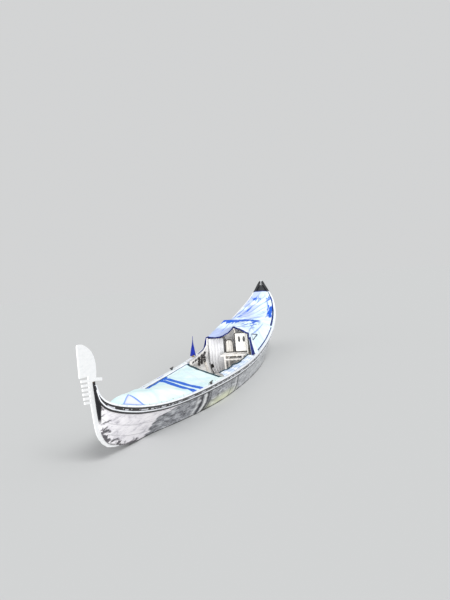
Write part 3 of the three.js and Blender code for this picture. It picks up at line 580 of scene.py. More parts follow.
    # inside faces: cream by the well, oiled wood in the ends
    facing = node(
        tree, "ShaderNodeSeparateXYZ",
        {"Vector": node(tree, "ShaderNodeNewGeometry").outputs["Normal"]},
    )
    inward = node(
        tree, "ShaderNodeMath",
        {"Value": facing.outputs[1], "Value_001": y}, operation="MULTIPLY",
    )
    inward = node(
        tree, "ShaderNodeMapRange",
        {"Value": inward.outputs[0], "From Min": -0.02, "From Max": -0.05},
    )
    upward = node(
        tree, "ShaderNodeMapRange",
        {"Value": facing.outputs[2], "From Min": 0.7, "From Max": 0.8},
    )
    within = node(
        tree, "ShaderNodeMath",
        {"Value": inward.outputs[0], "Value_001": upward.outputs[0]}, operation="MAXIMUM",
    )
    fore_end = node(tree, "ShaderNodeMapRange", {"Value": x, "From Min": 2.24, "From Max": 2.2})
    aft_end = node(tree, "ShaderNodeMapRange", {"Value": x, "From Min": -2.54, "From Max": -2.5})
    by_well = node(
        tree, "ShaderNodeMath",
        {"Value": fore_end.outputs[0], "Value_001": aft_end.outputs[0]}, operation="MULTIPLY",
    )
    lining = node(
        tree, "ShaderNodeMix",
        {"Factor_Float": by_well.outputs[0], "A_Color": "#6b5a45", "B_Color": "#fbfaf8"}, data_type="RGBA",
    )
    painted = amid
    for amount, tint in (
        (aft.outputs[0], wear_and_reflection), (light_strokes, "#d6d7da"), (dark_strokes, "#3c3d41"),
        (bow.outputs[0], chalk_and_light), (faint.outputs[0], "#a09ca6"), (seam.outputs[0], "#4c4b50"),
        (sunlit_reflection.outputs[0], "#dfe2c2"), (post_marks[1], "#e3e4e4"), (post_marks[0], "#25242b"),
        (stem_shade.outputs[0], "#3a373d"), (stem.outputs[0], "#121318"),
        (wet.outputs[0], "#2f322f"), (within.outputs[0], lining.outputs[2]),
    ):
        painted = node(
            tree, "ShaderNodeMix",
            {"Factor_Float": amount, "A_Color": painted, "B_Color": tint}, data_type="RGBA",
        ).outputs[2]
    dull = node(tree, "ShaderNodeMapRange", {"Value": patches, "To Min": 0.5, "To Max": 0.8})
    connect(tree, surface, painted, dull.outputs[0], strokes, 0.0015, 0.5)
    return made


def band_paint():
    # Gloss enamel, brushed black: mirrors the pale surroundings, and carries a painted highlight, pale grey
    # in long dashes about 16 mm high, a third of the way down.
    made, tree, surface = blank("gloss enamel, brushed, black", Coat_Weight=0.3, Coat_Roughness=0.15)
    place = node(tree, "ShaderNodeTexCoord").outputs["Object"]
    x, _, z = node(tree, "ShaderNodeSeparateXYZ", {"Vector": place}).outputs
    spread = node(tree, "ShaderNodeMapping", {"Vector": place, "Scale": (5, 30, 30)})
    rub = node(
        tree, "ShaderNodeTexNoise",
        {"Vector": spread.outputs[0], "Scale": 1.0, "Detail": 5.0, "Roughness": 0.65},
    ).outputs["Fac"]
    colour = node(
        tree, "ShaderNodeValToRGB", {"Fac": rub},
        stops=[(0.3, "#0b0b0e"), (0.56, "#1b191c"), (0.7, "#47434a"), (0.78, "#8d9298")],
    )
    down = under_sheer(tree, x, z)
    low = node(
        tree, "ShaderNodeMath",
        {"Value": rub, "Value_001": 0.012, "Value_002": down}, operation="MULTIPLY_ADD",
    )
    upper = node(
        tree, "ShaderNodeMapRange",
        {"Value": low.outputs[0], "From Min": 0.030, "From Max": 0.034},
    )
    lower = node(
        tree, "ShaderNodeMapRange",
        {"Value": low.outputs[0], "From Min": 0.052, "From Max": 0.046},
    )
    # dashes 60 to 250 mm long
    beat = node(tree, "ShaderNodeTexNoise", {"W": x, "Scale": 5.0, "Detail": 2.0}, noise_dimensions="1D")
    dash = node(
        tree, "ShaderNodeMapRange",
        {"Value": beat.outputs["Fac"], "From Min": 0.50, "From Max": 0.53},
    )
    # the painted highlight: pale grey between these two depths, and only in the dashes
    painted_glint = node(
        tree, "ShaderNodeMath",
        {"Value": upper.outputs[0], "Value_001": lower.outputs[0]}, operation="MULTIPLY",
    )
    painted_glint = node(
        tree, "ShaderNodeMath",
        {"Value": painted_glint.outputs[0], "Value_001": dash.outputs[0]}, operation="MULTIPLY",
    )
    colour = node(
        tree, "ShaderNodeMix",
        {"Factor_Float": painted_glint.outputs[0], "A_Color": colour.outputs["Color"], "B_Color": "#c3c5cc"},
        data_type="RGBA",
    )
    dull = node(
        tree, "ShaderNodeMapRange",
        {"Value": rub, "From Min": 0.35, "From Max": 0.75, "To Min": 0.25, "To Max": 0.6},
    )
    connect(tree, surface, colour.outputs[2], dull.outputs[0], rub, 0.0006, 0.3)
    return made


def rail_paint():
    # Oil paint, brushed white: rubbed grey where lines and hands pass, and black aft of the stern cover.
    made, tree, surface = blank("oil paint, brushed, white, worn", Specular_IOR_Level=0.5)
    place = node(tree, "ShaderNodeTexCoord").outputs["Object"]
    x = node(tree, "ShaderNodeSeparateXYZ", {"Vector": place}).outputs[0]
    spread = node(tree, "ShaderNodeMapping", {"Vector": place, "Scale": (9, 40, 40)})
    rub = node(
        tree, "ShaderNodeTexNoise",
        {"Vector": spread.outputs[0], "Scale": 1.0, "Detail": 7.0, "Roughness": 0.7},
    )
    white = node(
        tree, "ShaderNodeValToRGB", {"Fac": rub.outputs["Fac"]},
        stops=[(0.24, "#6c7076"), (0.34, "#c3c7cd"), (0.45, "#e9ecf1"), (0.75, "#f6f8fb")],
    )
    stern = node(tree, "ShaderNodeMapRange", {"Value": x, "From Min": -4.62, "From Max": -4.66})
    colour = node(
        tree, "ShaderNodeMix",
        {"Factor_Float": stern.outputs[0], "A_Color": white.outputs["Color"], "B_Color": "#121418"},
        data_type="RGBA",
    )
    dull = node(tree, "ShaderNodeMapRange", {"Value": rub.outputs["Fac"], "To Min": 0.65, "To Max": 0.3})
    connect(tree, surface, colour.outputs[2], dull.outputs[0], rub.outputs["Fac"], 0.0008, 0.4)
    return made


def plain_paint(name, colours, across, rough, grain=(3, 30, 30)):
    """Paint over boards that run fore and aft: the grain shows, and a seam every so many metres across."""
    made, tree, surface = blank(name, Specular_IOR_Level=0.4)
    place = node(tree, "ShaderNodeTexCoord").outputs["Object"]
    y = node(tree, "ShaderNodeSeparateXYZ", {"Vector": place}).outputs[1]
    spread = node(tree, "ShaderNodeMapping", {"Vector": place, "Scale": grain})
    wood = node(
        tree, "ShaderNodeTexNoise",
        {"Vector": spread.outputs[0], "Scale": 1.0, "Detail": 6.0, "Roughness": 0.6, "Distortion": 0.4},
    )
    colour = node(
        tree, "ShaderNodeValToRGB", {"Fac": wood.outputs["Fac"]},
        stops=[(0.3, colours[0]), (0.5, colours[1]), (0.7, colours[2])],
    )
    shown = colour.outputs["Color"]
    height = wood.outputs["Fac"]
    if across:
        beat = node(tree, "ShaderNodeMath", {"Value": y, "Value_001": across / 2}, operation="PINGPONG")
        seam = node(
            tree, "ShaderNodeMapRange",
            {"Value": beat.outputs[0], "From Min": 0.004, "From Max": 0.001},
        )
        shown = node(
            tree, "ShaderNodeMix",
            {"Factor_Float": seam.outputs[0], "A_Color": shown, "B_Color": colours[3]}, data_type="RGBA",
        ).outputs[2]
        height = node(
            tree, "ShaderNodeMath",
            {"Value": seam.outputs[0], "Value_001": -3.0, "Value_002": height}, operation="MULTIPLY_ADD",
        ).outputs[0]
    dull = node(
        tree, "ShaderNodeMapRange",
        {"Value": wood.outputs["Fac"], "To Min": rough - 0.12, "To Max": rough + 0.12},
    )
    connect(tree, surface, shown, dull.outputs[0], height, 0.0012, 0.5)
    return made


def carved_walnut():
    # Walnut, carved and French polished: nearly black, a little warmer on its crests, glossy.
    made, tree, surface = blank("walnut, carved, polished", Coat_Weight=0.4, Coat_Roughness=0.15)
    place = node(tree, "ShaderNodeTexCoord").outputs["Object"]
    spread = node(tree, "ShaderNodeMapping", {"Vector": place, "Scale": (22, 60, 40)})
    figure = node(
        tree, "ShaderNodeTexNoise",
        {"Vector": spread.outputs[0], "Scale": 1.0, "Detail": 5.0, "Distortion": 1.5},
    )
    colour = node(
        tree, "ShaderNodeValToRGB", {"Fac": figure.outputs["Fac"]},
        stops=[(0.3, "#0b0807"), (0.55, "#17100c"), (0.75, "#2b2019")],
    )
    dull = node(tree, "ShaderNodeMapRange", {"Value": figure.outputs["Fac"], "To Min": 0.25, "To Max": 0.5})
    connect(tree, surface, colour.outputs["Color"], dull.outputs[0], figure.outputs["Fac"], 0.001, 0.5)
    return made


def metal(name, colours, rough, spread, bare=1.0):
    """Metal, brushed along its length, under a film: bare all over at 1, and mostly film at less."""
    made, tree, surface = blank(name, Metallic=bare)
    place = node(tree, "ShaderNodeTexCoord").outputs["Object"]
    at = node(tree, "ShaderNodeMapping", {"Vector": place, "Scale": spread})
    film = node(
        tree, "ShaderNodeTexNoise",
        {"Vector": at.outputs[0], "Scale": 1.0, "Detail": 6.0, "Roughness": 0.7},
    )
    colour = node(
        tree, "ShaderNodeValToRGB", {"Fac": film.outputs["Fac"]},
        stops=[(0.28, colours[0]), (0.45, colours[1]), (0.7, colours[2])],
    )
    dull = node(
        tree, "ShaderNodeMapRange",
        {"Value": film.outputs["Fac"], "To Min": rough + 0.12, "To Max": rough - 0.1},
    )
    connect(tree, surface, colour.outputs["Color"], dull.outputs[0], film.outputs["Fac"], 0.0004, 0.3)
    return made


WAVE_TURNS = 3.183  # how often a wave texture repeats in a metre at scale 1


def woven(name, pale, deep, dim, thread, rough=0.75, sheen=0.05, stripes=()):
    """Cloth: a plain weave on its own UV map, in metres, with soiling. A mark called blue turns it to its
    deep colour, one called shade to its dim one, and one called dark to navy. Each stripe is straight: the
    way across it, how far along that way its middle lies, its half width and its colour."""
    made, tree, surface = blank(name, Sheen_Weight=sheen, Sheen_Roughness=0.4, Specular_IOR_Level=0.1)
    place = node(tree, "ShaderNodeTexCoord").outputs["Object"]
    flat = node(tree, "ShaderNodeUVMap", uv_map="cloth").outputs[0]
    soil = node(
        tree, "ShaderNodeTexNoise",
        {"Vector": place, "Scale": 3.2, "Detail": 6.0, "Roughness": 0.6, "Distortion": 0.8},
    )
    colour = node(
        tree, "ShaderNodeValToRGB", {"Fac": soil.outputs["Fac"]},
        stops=[(0.3, pale[0]), (0.5, pale[1]), (0.68, pale[2])],
    ).outputs["Color"]
    for mark, tint in (("shade", dim), ("blue", deep), ("dark", "#151b42")):
        amount = node(tree, "ShaderNodeAttribute", attribute_name=mark).outputs["Fac"]
        colour = node(
            tree, "ShaderNodeMix",
            {"Factor_Float": amount, "A_Color": colour, "B_Color": tint}, data_type="RGBA",
        ).outputs[2]
    for across, middle, half, tint in stripes:
        away = node(
            tree, "ShaderNodeVectorMath", {"Vector": place, "Vector_001": across}, operation="DOT_PRODUCT",
        )
        away = node(
            tree, "ShaderNodeMath",
            {"Value": away.outputs["Value"], "Value_001": middle}, operation="SUBTRACT",
        )
        away = node(tree, "ShaderNodeMath", {"Value": away.outputs[0]}, operation="ABSOLUTE")
        amount = node(
            tree, "ShaderNodeMapRange",
            {"Value": away.outputs[0], "From Min": half + 0.003, "From Max": half},
        )
        colour = node(
            tree, "ShaderNodeMix",
            {"Factor_Float": amount.outputs[0], "A_Color": colour, "B_Color": tint}, data_type="RGBA",
        ).outputs[2]
    threads = [
        node(
            tree, "ShaderNodeTexWave",
            {"Vector": flat, "Scale": 1 / thread / WAVE_TURNS, "Distortion": 0.6, "Detail": 1.0},
            bands_direction=way,
        )
        for way in ("X", "Y")
    ]
    weave = node(
        tree, "ShaderNodeMath",
        {"Value": threads[0].outputs["Fac"], "Value_001": threads[1].outputs["Fac"]}, operation="MULTIPLY",
    )
    height = node(
        tree, "ShaderNodeMath",
        {"Value": soil.outputs["Fac"], "Value_001": 4.0, "Value_002": weave.outputs[0]},
        operation="MULTIPLY_ADD",
    )
    dull = node(
        tree, "ShaderNodeMapRange",
        {"Value": soil.outputs["Fac"], "To Min": rough - 0.1, "To Max": rough + 0.1},
    )
    connect(tree, surface, colour, dull.outputs[0], height.outputs[0], 0.0009, 0.45)
    return made


HULL = hull_paint()
BLACK = band_paint()
RAIL = rail_paint()
# Deck paint: a thin black over tongued boards, dusty and half dull
DECK = plain_paint(
    "deck paint, brushed, black", ("#121317", "#1e2024", "#34373c", "#08090a"), across=0.09, rough=0.42,
)
# Larch, planed and limewashed: nearly white, with the grain showing grey-brown
TIMBER = plain_paint("larch, planed, limewashed", ("#c9c1b6", "#ebe6de", "#f6f4f0"), across=0, rough=0.75)
# Larch boards, scrubbed bare: pale, dry, with dark seams
BOARDS = plain_paint(
    "larch boards, scrubbed", ("#e3e0db", "#f4f2ef", "#fbfaf9", "#8f877c"), across=0.11, rough=0.75,
)
# Distemper-dull cream paint over joinery, a little soiled
CREAM = plain_paint(
    "oil paint, brushed, cream", ("#e4dfd8", "#f6f3ee", "#fcfbf9"), across=0, rough=0.7, grain=(5, 9, 9),
)
# Limewood, carved, under white oil paint that is rubbed grey on its edges
CARVED = plain_paint(
    "limewood, carved, painted white", ("#d9d6d2", "#f6f4f2", "#fdfcfb"), across=0, rough=0.65,
    grain=(12, 12, 12),
)
# The same cream paint, worn through to dark wood in spots
WORN_CREAM = plain_paint(
    "oil paint, brushed, cream, worn through", ("#a79d92", "#f1ede8", "#fbf9f7"), across=0, rough=0.7,
    grain=(7, 12, 9),
)
# The cream paint over slats 55 mm wide, drawn greyer as painted shade in the round back's curved hollow
SHADED_SLATS = plain_paint(
    "oil paint, brushed, cream, on slats", ("#a5a099", "#cfcbc5", "#e4e1dc", "#6a645c"), across=0.055,
    rough=0.7, grain=(5, 9, 9),
)
WALNUT = carved_walnut()
# Steel, long outdoors: an even white, and hardly any shine. The white is a painted reflection of the bright
# sky in the polished steel
STEEL = metal(
    "steel, forged, white as painted sky reflection", ("#eceef0", "#f6f7f8", "#fdfdfe"), rough=0.5, spread=(9, 9, 30),
    bare=0.15,
)
# Cast brass: brown in its hollows, golden where it is touched
BRASS = metal(
    "brass, cast, tarnished", ("#5d4a20", "#a5823a", "#cfae62"), rough=0.38, spread=(40, 40, 40),
)
# Coated tarpaulin: a close weave under a waxy coat, pale cyan; the weave is drawn at 6 mm, real 0.8 mm
BOW_CLOTH = woven(
    "coated polyester, woven, pale cyan", ("#d2f1f6", "#e3f9fb", "#f1fcf8"), deep="#2a6cdc", dim="#e2e5f9",
    thread=0.006, rough=0.6,
    stripes=[
        ((-0.667, 0.745, 0), -1.377, 0.050, "#0f66da"),
        ((-0.636, 0.772, 0), -1.452, 0.050, "#0f66da"),
    ],
)
# The same tarpaulin for the tent and the stern, pale where it has bleached and deep blue in its folds; the
# blue in the folds is partly the cloth's own and partly painted shade
BLUE_CLOTH = woven(
    "coated polyester, woven, blue and pale", ("#cde8f6", "#e0f3fb", "#f0fbfd"), deep="#0b5ad2",
    dim="#b3c1e6", thread=0.006, rough=0.6,
)
# The bow's tarpaulin folded on the rail, with its greyer inner face out
FOLDED_CLOTH = woven(
    "coated polyester, woven, folded", ("#aebfdd", "#c6d6ec", "#dfeaf6"), deep="#3d4f86", dim="#f1f6fb",
    thread=0.006, rough=0.65,
)
# Cotton duck, washed out: soft grey-white, drawn at 5 mm, real 0.6 mm
CURTAIN_CLOTH = woven(
    "cotton duck, woven", ("#c9c9cb", "#dcdcde", "#ececee"), deep="#9a9ba2", dim="#2b2725", thread=0.005,
    rough=0.9, sheen=0.3,
)
# Cotton damask, a little faded: a soft beige with a bloom at its edges, drawn at 4 mm, real 0.5 mm
CUSHION_CLOTH = woven(
    "cotton damask, woven", ("#b9a48f", "#d2c1ae", "#e2d6c6"), deep="#8a7662", dim="#a8947f", thread=0.004,
    rough=0.85, sheen=0.4,
)
# Canvas, dyed navy: dull, and paler where it is drawn tight; drawn at 4 mm, real 0.7 mm
HOOD_CLOTH = woven(
    "canvas, woven, navy", ("#101c66", "#17268a", "#2438a8"), deep="#0a1040", dim="#0f1858", thread=0.004,
    rough=0.8, sheen=0.3,
)
# Sewn polyester webbing and hem tape: close, a little shiny; drawn at 4 mm, real 0.5 mm
BLUE_TAPE, TEAL_TAPE, WHITE_TAPE, NAVY_TAPE = (
    woven(name, pale, deep, dim, thread=0.004)
    for name, pale, deep, dim in (
        ("polyester webbing, woven, blue", ("#1c5cc4", "#2873dc", "#418cec"), "#1b2f8e", "#1b2f8e"),
        ("polyester hem tape, woven, teal", ("#102a34", "#183c48", "#235060"), "#10242c", "#10242c"),
        ("polyester webbing, woven, white", ("#dfe4ea", "#eef2f6", "#f8fafc"), "#8fa0b8", "#b9c2cf"),
        ("polyester webbing, woven, navy", ("#0e1748", "#16226a", "#20308c"), "#0a1040", "#0a1040"),
    )
)


# Floor and light

# Matt paint on board: even, with no shine at all
FLOOR_MATERIAL, _, _ = blank(
    "matt board, painted, pale", Base_Color="#cbcccc", Roughness=1.0, Specular_IOR_Level=0.0
)
# The floor is a ring round the hull at the waterline. It starts just inside the planks.
FLOOR_REACH = 45
UNDER_PLANKS = 0.007
AFLOAT = (-3.36, 3.84)  # where the planks meet the water, aft and forward
CLEAR_OF_BOAT = 2.0
planks = {1: cad_surface("side_planking_port"), -1: cad_surface("side_planking_starboard")}
ring = []
for side in (1, -1):
    edge = []
    for x in np.linspace(*AFLOAT, 81):
        place, _, _, _ = planks[side].ray_cast((x, side * CLEAR_OF_BOAT, WATERLINE), (0, -side, 0))
        if place is not None:
            edge.append((x, place[1] - side * UNDER_PLANKS, WATERLINE))
    ring += edge if side > 0 else edge[::-1]
ring = np.array(ring)
rim = np.concatenate([unit(ring[:, :2]) * FLOOR_REACH, np.full((len(ring), 1), WATERLINE)], axis=1)
count = len(ring)
floor = add_mesh(
    "floor",
    np.concatenate([ring, rim]),
    [((k + 1) % count, k, k + count, (k + 1) % count + count) for k in range(count)],
    FLOOR_MATERIAL,
    smooth=False,
)

world = bpy.data.worlds.new("studio")
scene.world = world
world.use_nodes = True
# A pale overcast sky, a very little blue
sky = world.node_tree.nodes["Background"].inputs
sky["Color"].default_value = (0.985, 0.995, 1.0, 1.0)
sky["Strength"].default_value = 0.66

# A wide soft sun, high ahead of the boat and to port, and a narrower low one that reaches under the tent.
# With them the floor comes out as bright as the sky, so that the two meet without a line.
for name, comes_from, strength, width in (
    ("sun", (0.50, 0.46, 0.74), 1.60, 32),
    ("low_sun", (0.960, 0.262, 0.088), 2.1, 9),
):
    light = bpy.data.lights.new(name, "SUN")
    light.energy, light.angle = strength, math.radians(width)
    shining = bpy.data.objects.new(name, light)
    shining.rotation_euler = Vector(comes_from).to_track_quat("Z", "Y").to_euler()
    scene.collection.objects.link(shining)


# Covers

INSET = 0.022  # the covers' edges, inboard of the planking's outer face
ON_RAIL = 0.036  # and how far inboard the bow cover begins to rise or sag
AFT_INSET = 0.024  # the tent's and the stern cover's edges
OVER_RAIL = 0.0075  # and how far over the rails these two lie
TARPAULIN = 0.004
CLOTH_THICK = 0.003
TAPE_THICK = 0.0018
THIN_TAPE = 0.0014

# The bow cover lies on the rails, arches over the deck, and sags over the open boat aft of it.
BOW_COVER = {"tip": 4.72, "aft_port": 1.83, "aft_starboard": -0.02}
# How far its middle stands over the rails: x, height
BOW_COVER_RISE = np.array(
    [
        (900, -14), (1300, -20), (1700, -24), (2100, -22), (2450, -14), (2750, -2), (3000, 34), (3250, 108),
        (3500, 148), (3850, 156), (4250, 148), (4500, 116), (4640, 72), (4720, 24),
    ]
) / 1000
# How far its aft hem stands over the rails, in even steps from starboard to port
BOW_HEM_RISE = np.array([0, -46, -37, -22, -10, -4, -6, -9, -12, -12, 0]) / 1000


def bow_cover_surface(rows=230, cols=141):
    """The bow cover's grid, from its tip aft and from starboard to port, and its marks."""
    s = np.linspace(0, 1, rows)[:, None]
    w = np.linspace(-1, 1, cols)[None, :]
    aft = mix(BOW_COVER["aft_starboard"], BOW_COVER["aft_port"], (1 + w) / 2)
    x = mix(BOW_COVER["tip"], aft, s)
    w = np.broadcast_to(w, x.shape)
    reach = sheer_half(x, w) - INSET
    inboard = reach * (1 - np.abs(w))
    rise = fair(x, BOW_COVER_RISE)[..., 0]
    slope = np.where(rise > 0, 0.2, np.where(w > 0, 0.30, 0.12))
    rise = rise * np.sin(np.clip((inboard - ON_RAIL) / slope, 0, 1) * math.pi / 2)
    # it dips along the starboard rail, and near its aft hem it is drawn straight from rail to rail
    rise = rise - 0.026 * np.exp(-(((inboard - 0.095) / 0.045) ** 2)) * step_up(3.1 - x, 0.0, 0.4) * (w < 0)
    hem = np.interp((w + 1) / 2, np.linspace(0, 1, len(BOW_HEM_RISE)), BOW_HEM_RISE)
    rise = mix(hem, rise, step_up((1 - s) * (BOW_COVER["tip"] - aft), 0.0, 0.7))
    rise = softened(rise, cols=3)
    y = reach * w
    # folds: the sag's long wrinkle and one beside it, the flattened corner near the bow, and slack parts
    table = [
        ([(0.89, -0.31), (1.67, 0.16), (2.46, 0.58)], 0.009, 0.022),
        ([(0.91, -0.36), (1.40, -0.20), (1.80, 0.04)], 0.006, 0.030),
        ([(4.60, 0.13), (4.29, 0.086), (4.21, 0.267)], 0.012, 0.018),
        ([(3.90, 0.30), (4.10, 0.02), (4.45, -0.08)], 0.006, 0.040),
        ([(3.20, -0.30), (3.60, 0.00), (3.70, 0.32)], 0.005, 0.060),
        ([(3.10, 0.25), (3.08, 0.42), (2.97, 0.55)], 0.005, 0.035),
    ]
    folds = sum(height * near(x, y, path, width) for path, height, width in table)
    loose = step_up(inboard, 0.02, 0.14)
    folds = folds + 0.0016 * ripples(x, y, 0.50, 3) + 0.0005 * ripples(x, y, 0.15, 4)
    # pulls along the rails, about 310 mm apart
    pulls = 0.004 * np.sin(x * 2 * math.pi / 0.31 + 0.8 * np.sin(x * 5))
    pulls = pulls * np.exp(-((inboard - 0.08) / 0.05) ** 2)
    z = rail_top(x) + 0.0055 + rise + (folds + pulls) * loose
    # the flattened corner is a triangle: shaded within, and blue along its edges
    corner = np.array([(4.583, 0.139), (4.291, 0.086), (4.218, 0.267)])
    centre = corner.mean(0)
    within = np.full_like(x, 1.0)
    for p, q in zip(corner, np.roll(corner, -1, axis=0)):
        across = np.array([-(q - p)[1], (q - p)[0]])
        across = across / np.linalg.norm(across) * (1 if (centre - p) @ across > 0 else -1)
        within = np.minimum(within, (x - p[0]) * across[0] + (y - p[1]) * across[1])
    shade = step_up(within, -0.006, 0.006)
    blue = 0.75 * np.exp(-((within / 0.008) ** 2)) + 0.9 * near(x, y, corner[1:], 0.016)
    shade = np.maximum(shade, 0.35 * near(x, y, [(0.95, -0.30), (1.70, 0.20), (2.44, 0.60)], 0.020))
    return np.stack([x, y, z], axis=-1), {"shade": shade, "blue": np.clip(blue, 0, 1)}


bow_top, marks = bow_cover_surface()
fore_cover = add_sheet("bow_cover", bow_top, TARPAULIN, BOW_CLOTH, marks)
bow_cover_face = piece_surface(fore_cover)


def starboard_line(inboard, start, end, count):
    """Points (x, y) along the starboard side, so far inboard of the planking's outer face."""
    return [(x, inboard - float(sheer_half(x, -1))) for x in np.linspace(start, end, count)]


# Its aft hem, whose band lies wholly on the cloth
HEM_AHEAD, HEM_WIDE = 0.058, 0.054
hem = [(x + HEM_AHEAD, y) for x, y, _ in bow_top[-1, 8:-6:4]]
bow_tapes = [add_sheet("bow_cover_aft_hem", tape_on(bow_cover_face, hem, HEM_WIDE), TAPE_THICK, TEAL_TAPE)]
# The hem, the border and the piping along its starboard side
for name, line, wide, lift, material in (
    ("hem", starboard_line(0.108, 1.45, 3.0, 20), 0.026, 0.0022, BLUE_TAPE),
    ("border", starboard_line(0.060, 0.06, 3.4, 60), 0.046, 0.0034, WHITE_TAPE),
    ("piping", starboard_line(0.088, 0.06, 3.4, 60), 0.010, 0.0034, NAVY_TAPE),
):
    band = tape_on(bow_cover_face, line, wide, lift)
    bow_tapes.append(add_sheet("bow_cover_side_" + name, band, THIN_TAPE, material))
# Three ties over the starboard rail
TIES = (2.42, 2.66, 2.90)
for number, x in enumerate(TIES, 1):
    half = float(sheer_half(x, -1))
    band = tape_on(bow_cover_face, [(x, 0.028 - half), (x + 0.01, 0.115 - half)], 0.045)
    bow_tapes.append(add_sheet("bow_cover_tie_%d" % number, band, TAPE_THICK, BLUE_TAPE))

# The part of the cover that is folded along the port rail: outer x, inner x, inner y
SIDE_COVER = np.array(
    [
        (1790, 1560, 556), (1500, 1420, 566), (1200, 1180, 628), (900, 850, 594), (660, 660, 668),
        (150, 100, 652), (-200, -200, 672),
    ]
) / 1000


def side_cover_surface(rows=190, cols=46):
    """The folded cover's grid, from its fore end aft and from the rail inboard, and its marks."""
    row_at = np.linspace(0, len(SIDE_COVER) - 1, rows)
    knots = np.concatenate([np.arange(len(SIDE_COVER))[:, None], SIDE_COVER], axis=1)
    outer_x, inner_x, inner = [fair(row_at, knots)[:, k][:, None] for k in range(3)]
    w = np.linspace(0, 1, cols)[None, :]
    outer = sheer_half(outer_x, 1) - INSET
    x, y = mix(outer_x, inner_x, w), mix(outer, inner, w)
    w = np.broadcast_to(w, x.shape)
    pleat = np.abs(np.sin(math.pi * (3.0 * w + 0.25 * np.sin(4.1 * x + 1) + 0.1))) ** 0.7
    lying = step_up(w, 0.0, 0.1)
    z = rail_top(x) + 0.0065 + 0.022 * np.sin(w * math.pi * 0.8) * lying + 0.011 * pleat * lying
    z = z + 0.004 * ripples(x, y, 0.22, 8) * lying
    z = softened(z, rows=1, cols=1)
    # deep blue in the hollows between the pleats: painted shade
    blue = step_up(0.40 - pleat, 0.0, 0.3) * 0.6
    shade = step_up(ripples(x, y, 0.3, 9), 0.0, 0.8) * 0.9
    dark = step_up(w, 0.90, 0.95)
    return np.stack([x, y, z], axis=-1), {"blue": blue, "shade": shade, "dark": dark}


top, marks = side_cover_surface()
side_cover = add_sheet("folded_side_cover", top, TARPAULIN, FOLDED_CLOTH, marks)
# A dark piping lies along it, four fifths of the way in.
PIPED_COLUMN = 37
piped = top[4:-4:2, PIPED_COLUMN] + np.array((0, 0, 0.005))
piping = add_tube("side_cover_piping", [(piped, 0.013)], TEAL_TAPE)

# The tent over the seats. Each row is a line fore and aft: the hem's x, y, z, then y and z at the back.
TENT_BACK = -2.452
TENT_LONG = 2.2  # from the hem to the back, in the tent's columns
TENT = np.array(
    [
        (-1200, -488, 723, -396, 918), (-1210, -450, 868, -385, 1078), (-1150, -223, 843, -230, 1074),
        (-1078, -89, 878, -90, 1068), (-951, 123, 981, 90, 1062), (-882, 250, 1084, 200, 1056),
        (-735, 454, 1034, 335, 1046), (-588, 621, 972, 461, 1030), (-230, 742, 612, 742, 846),
    ]
) / 1000


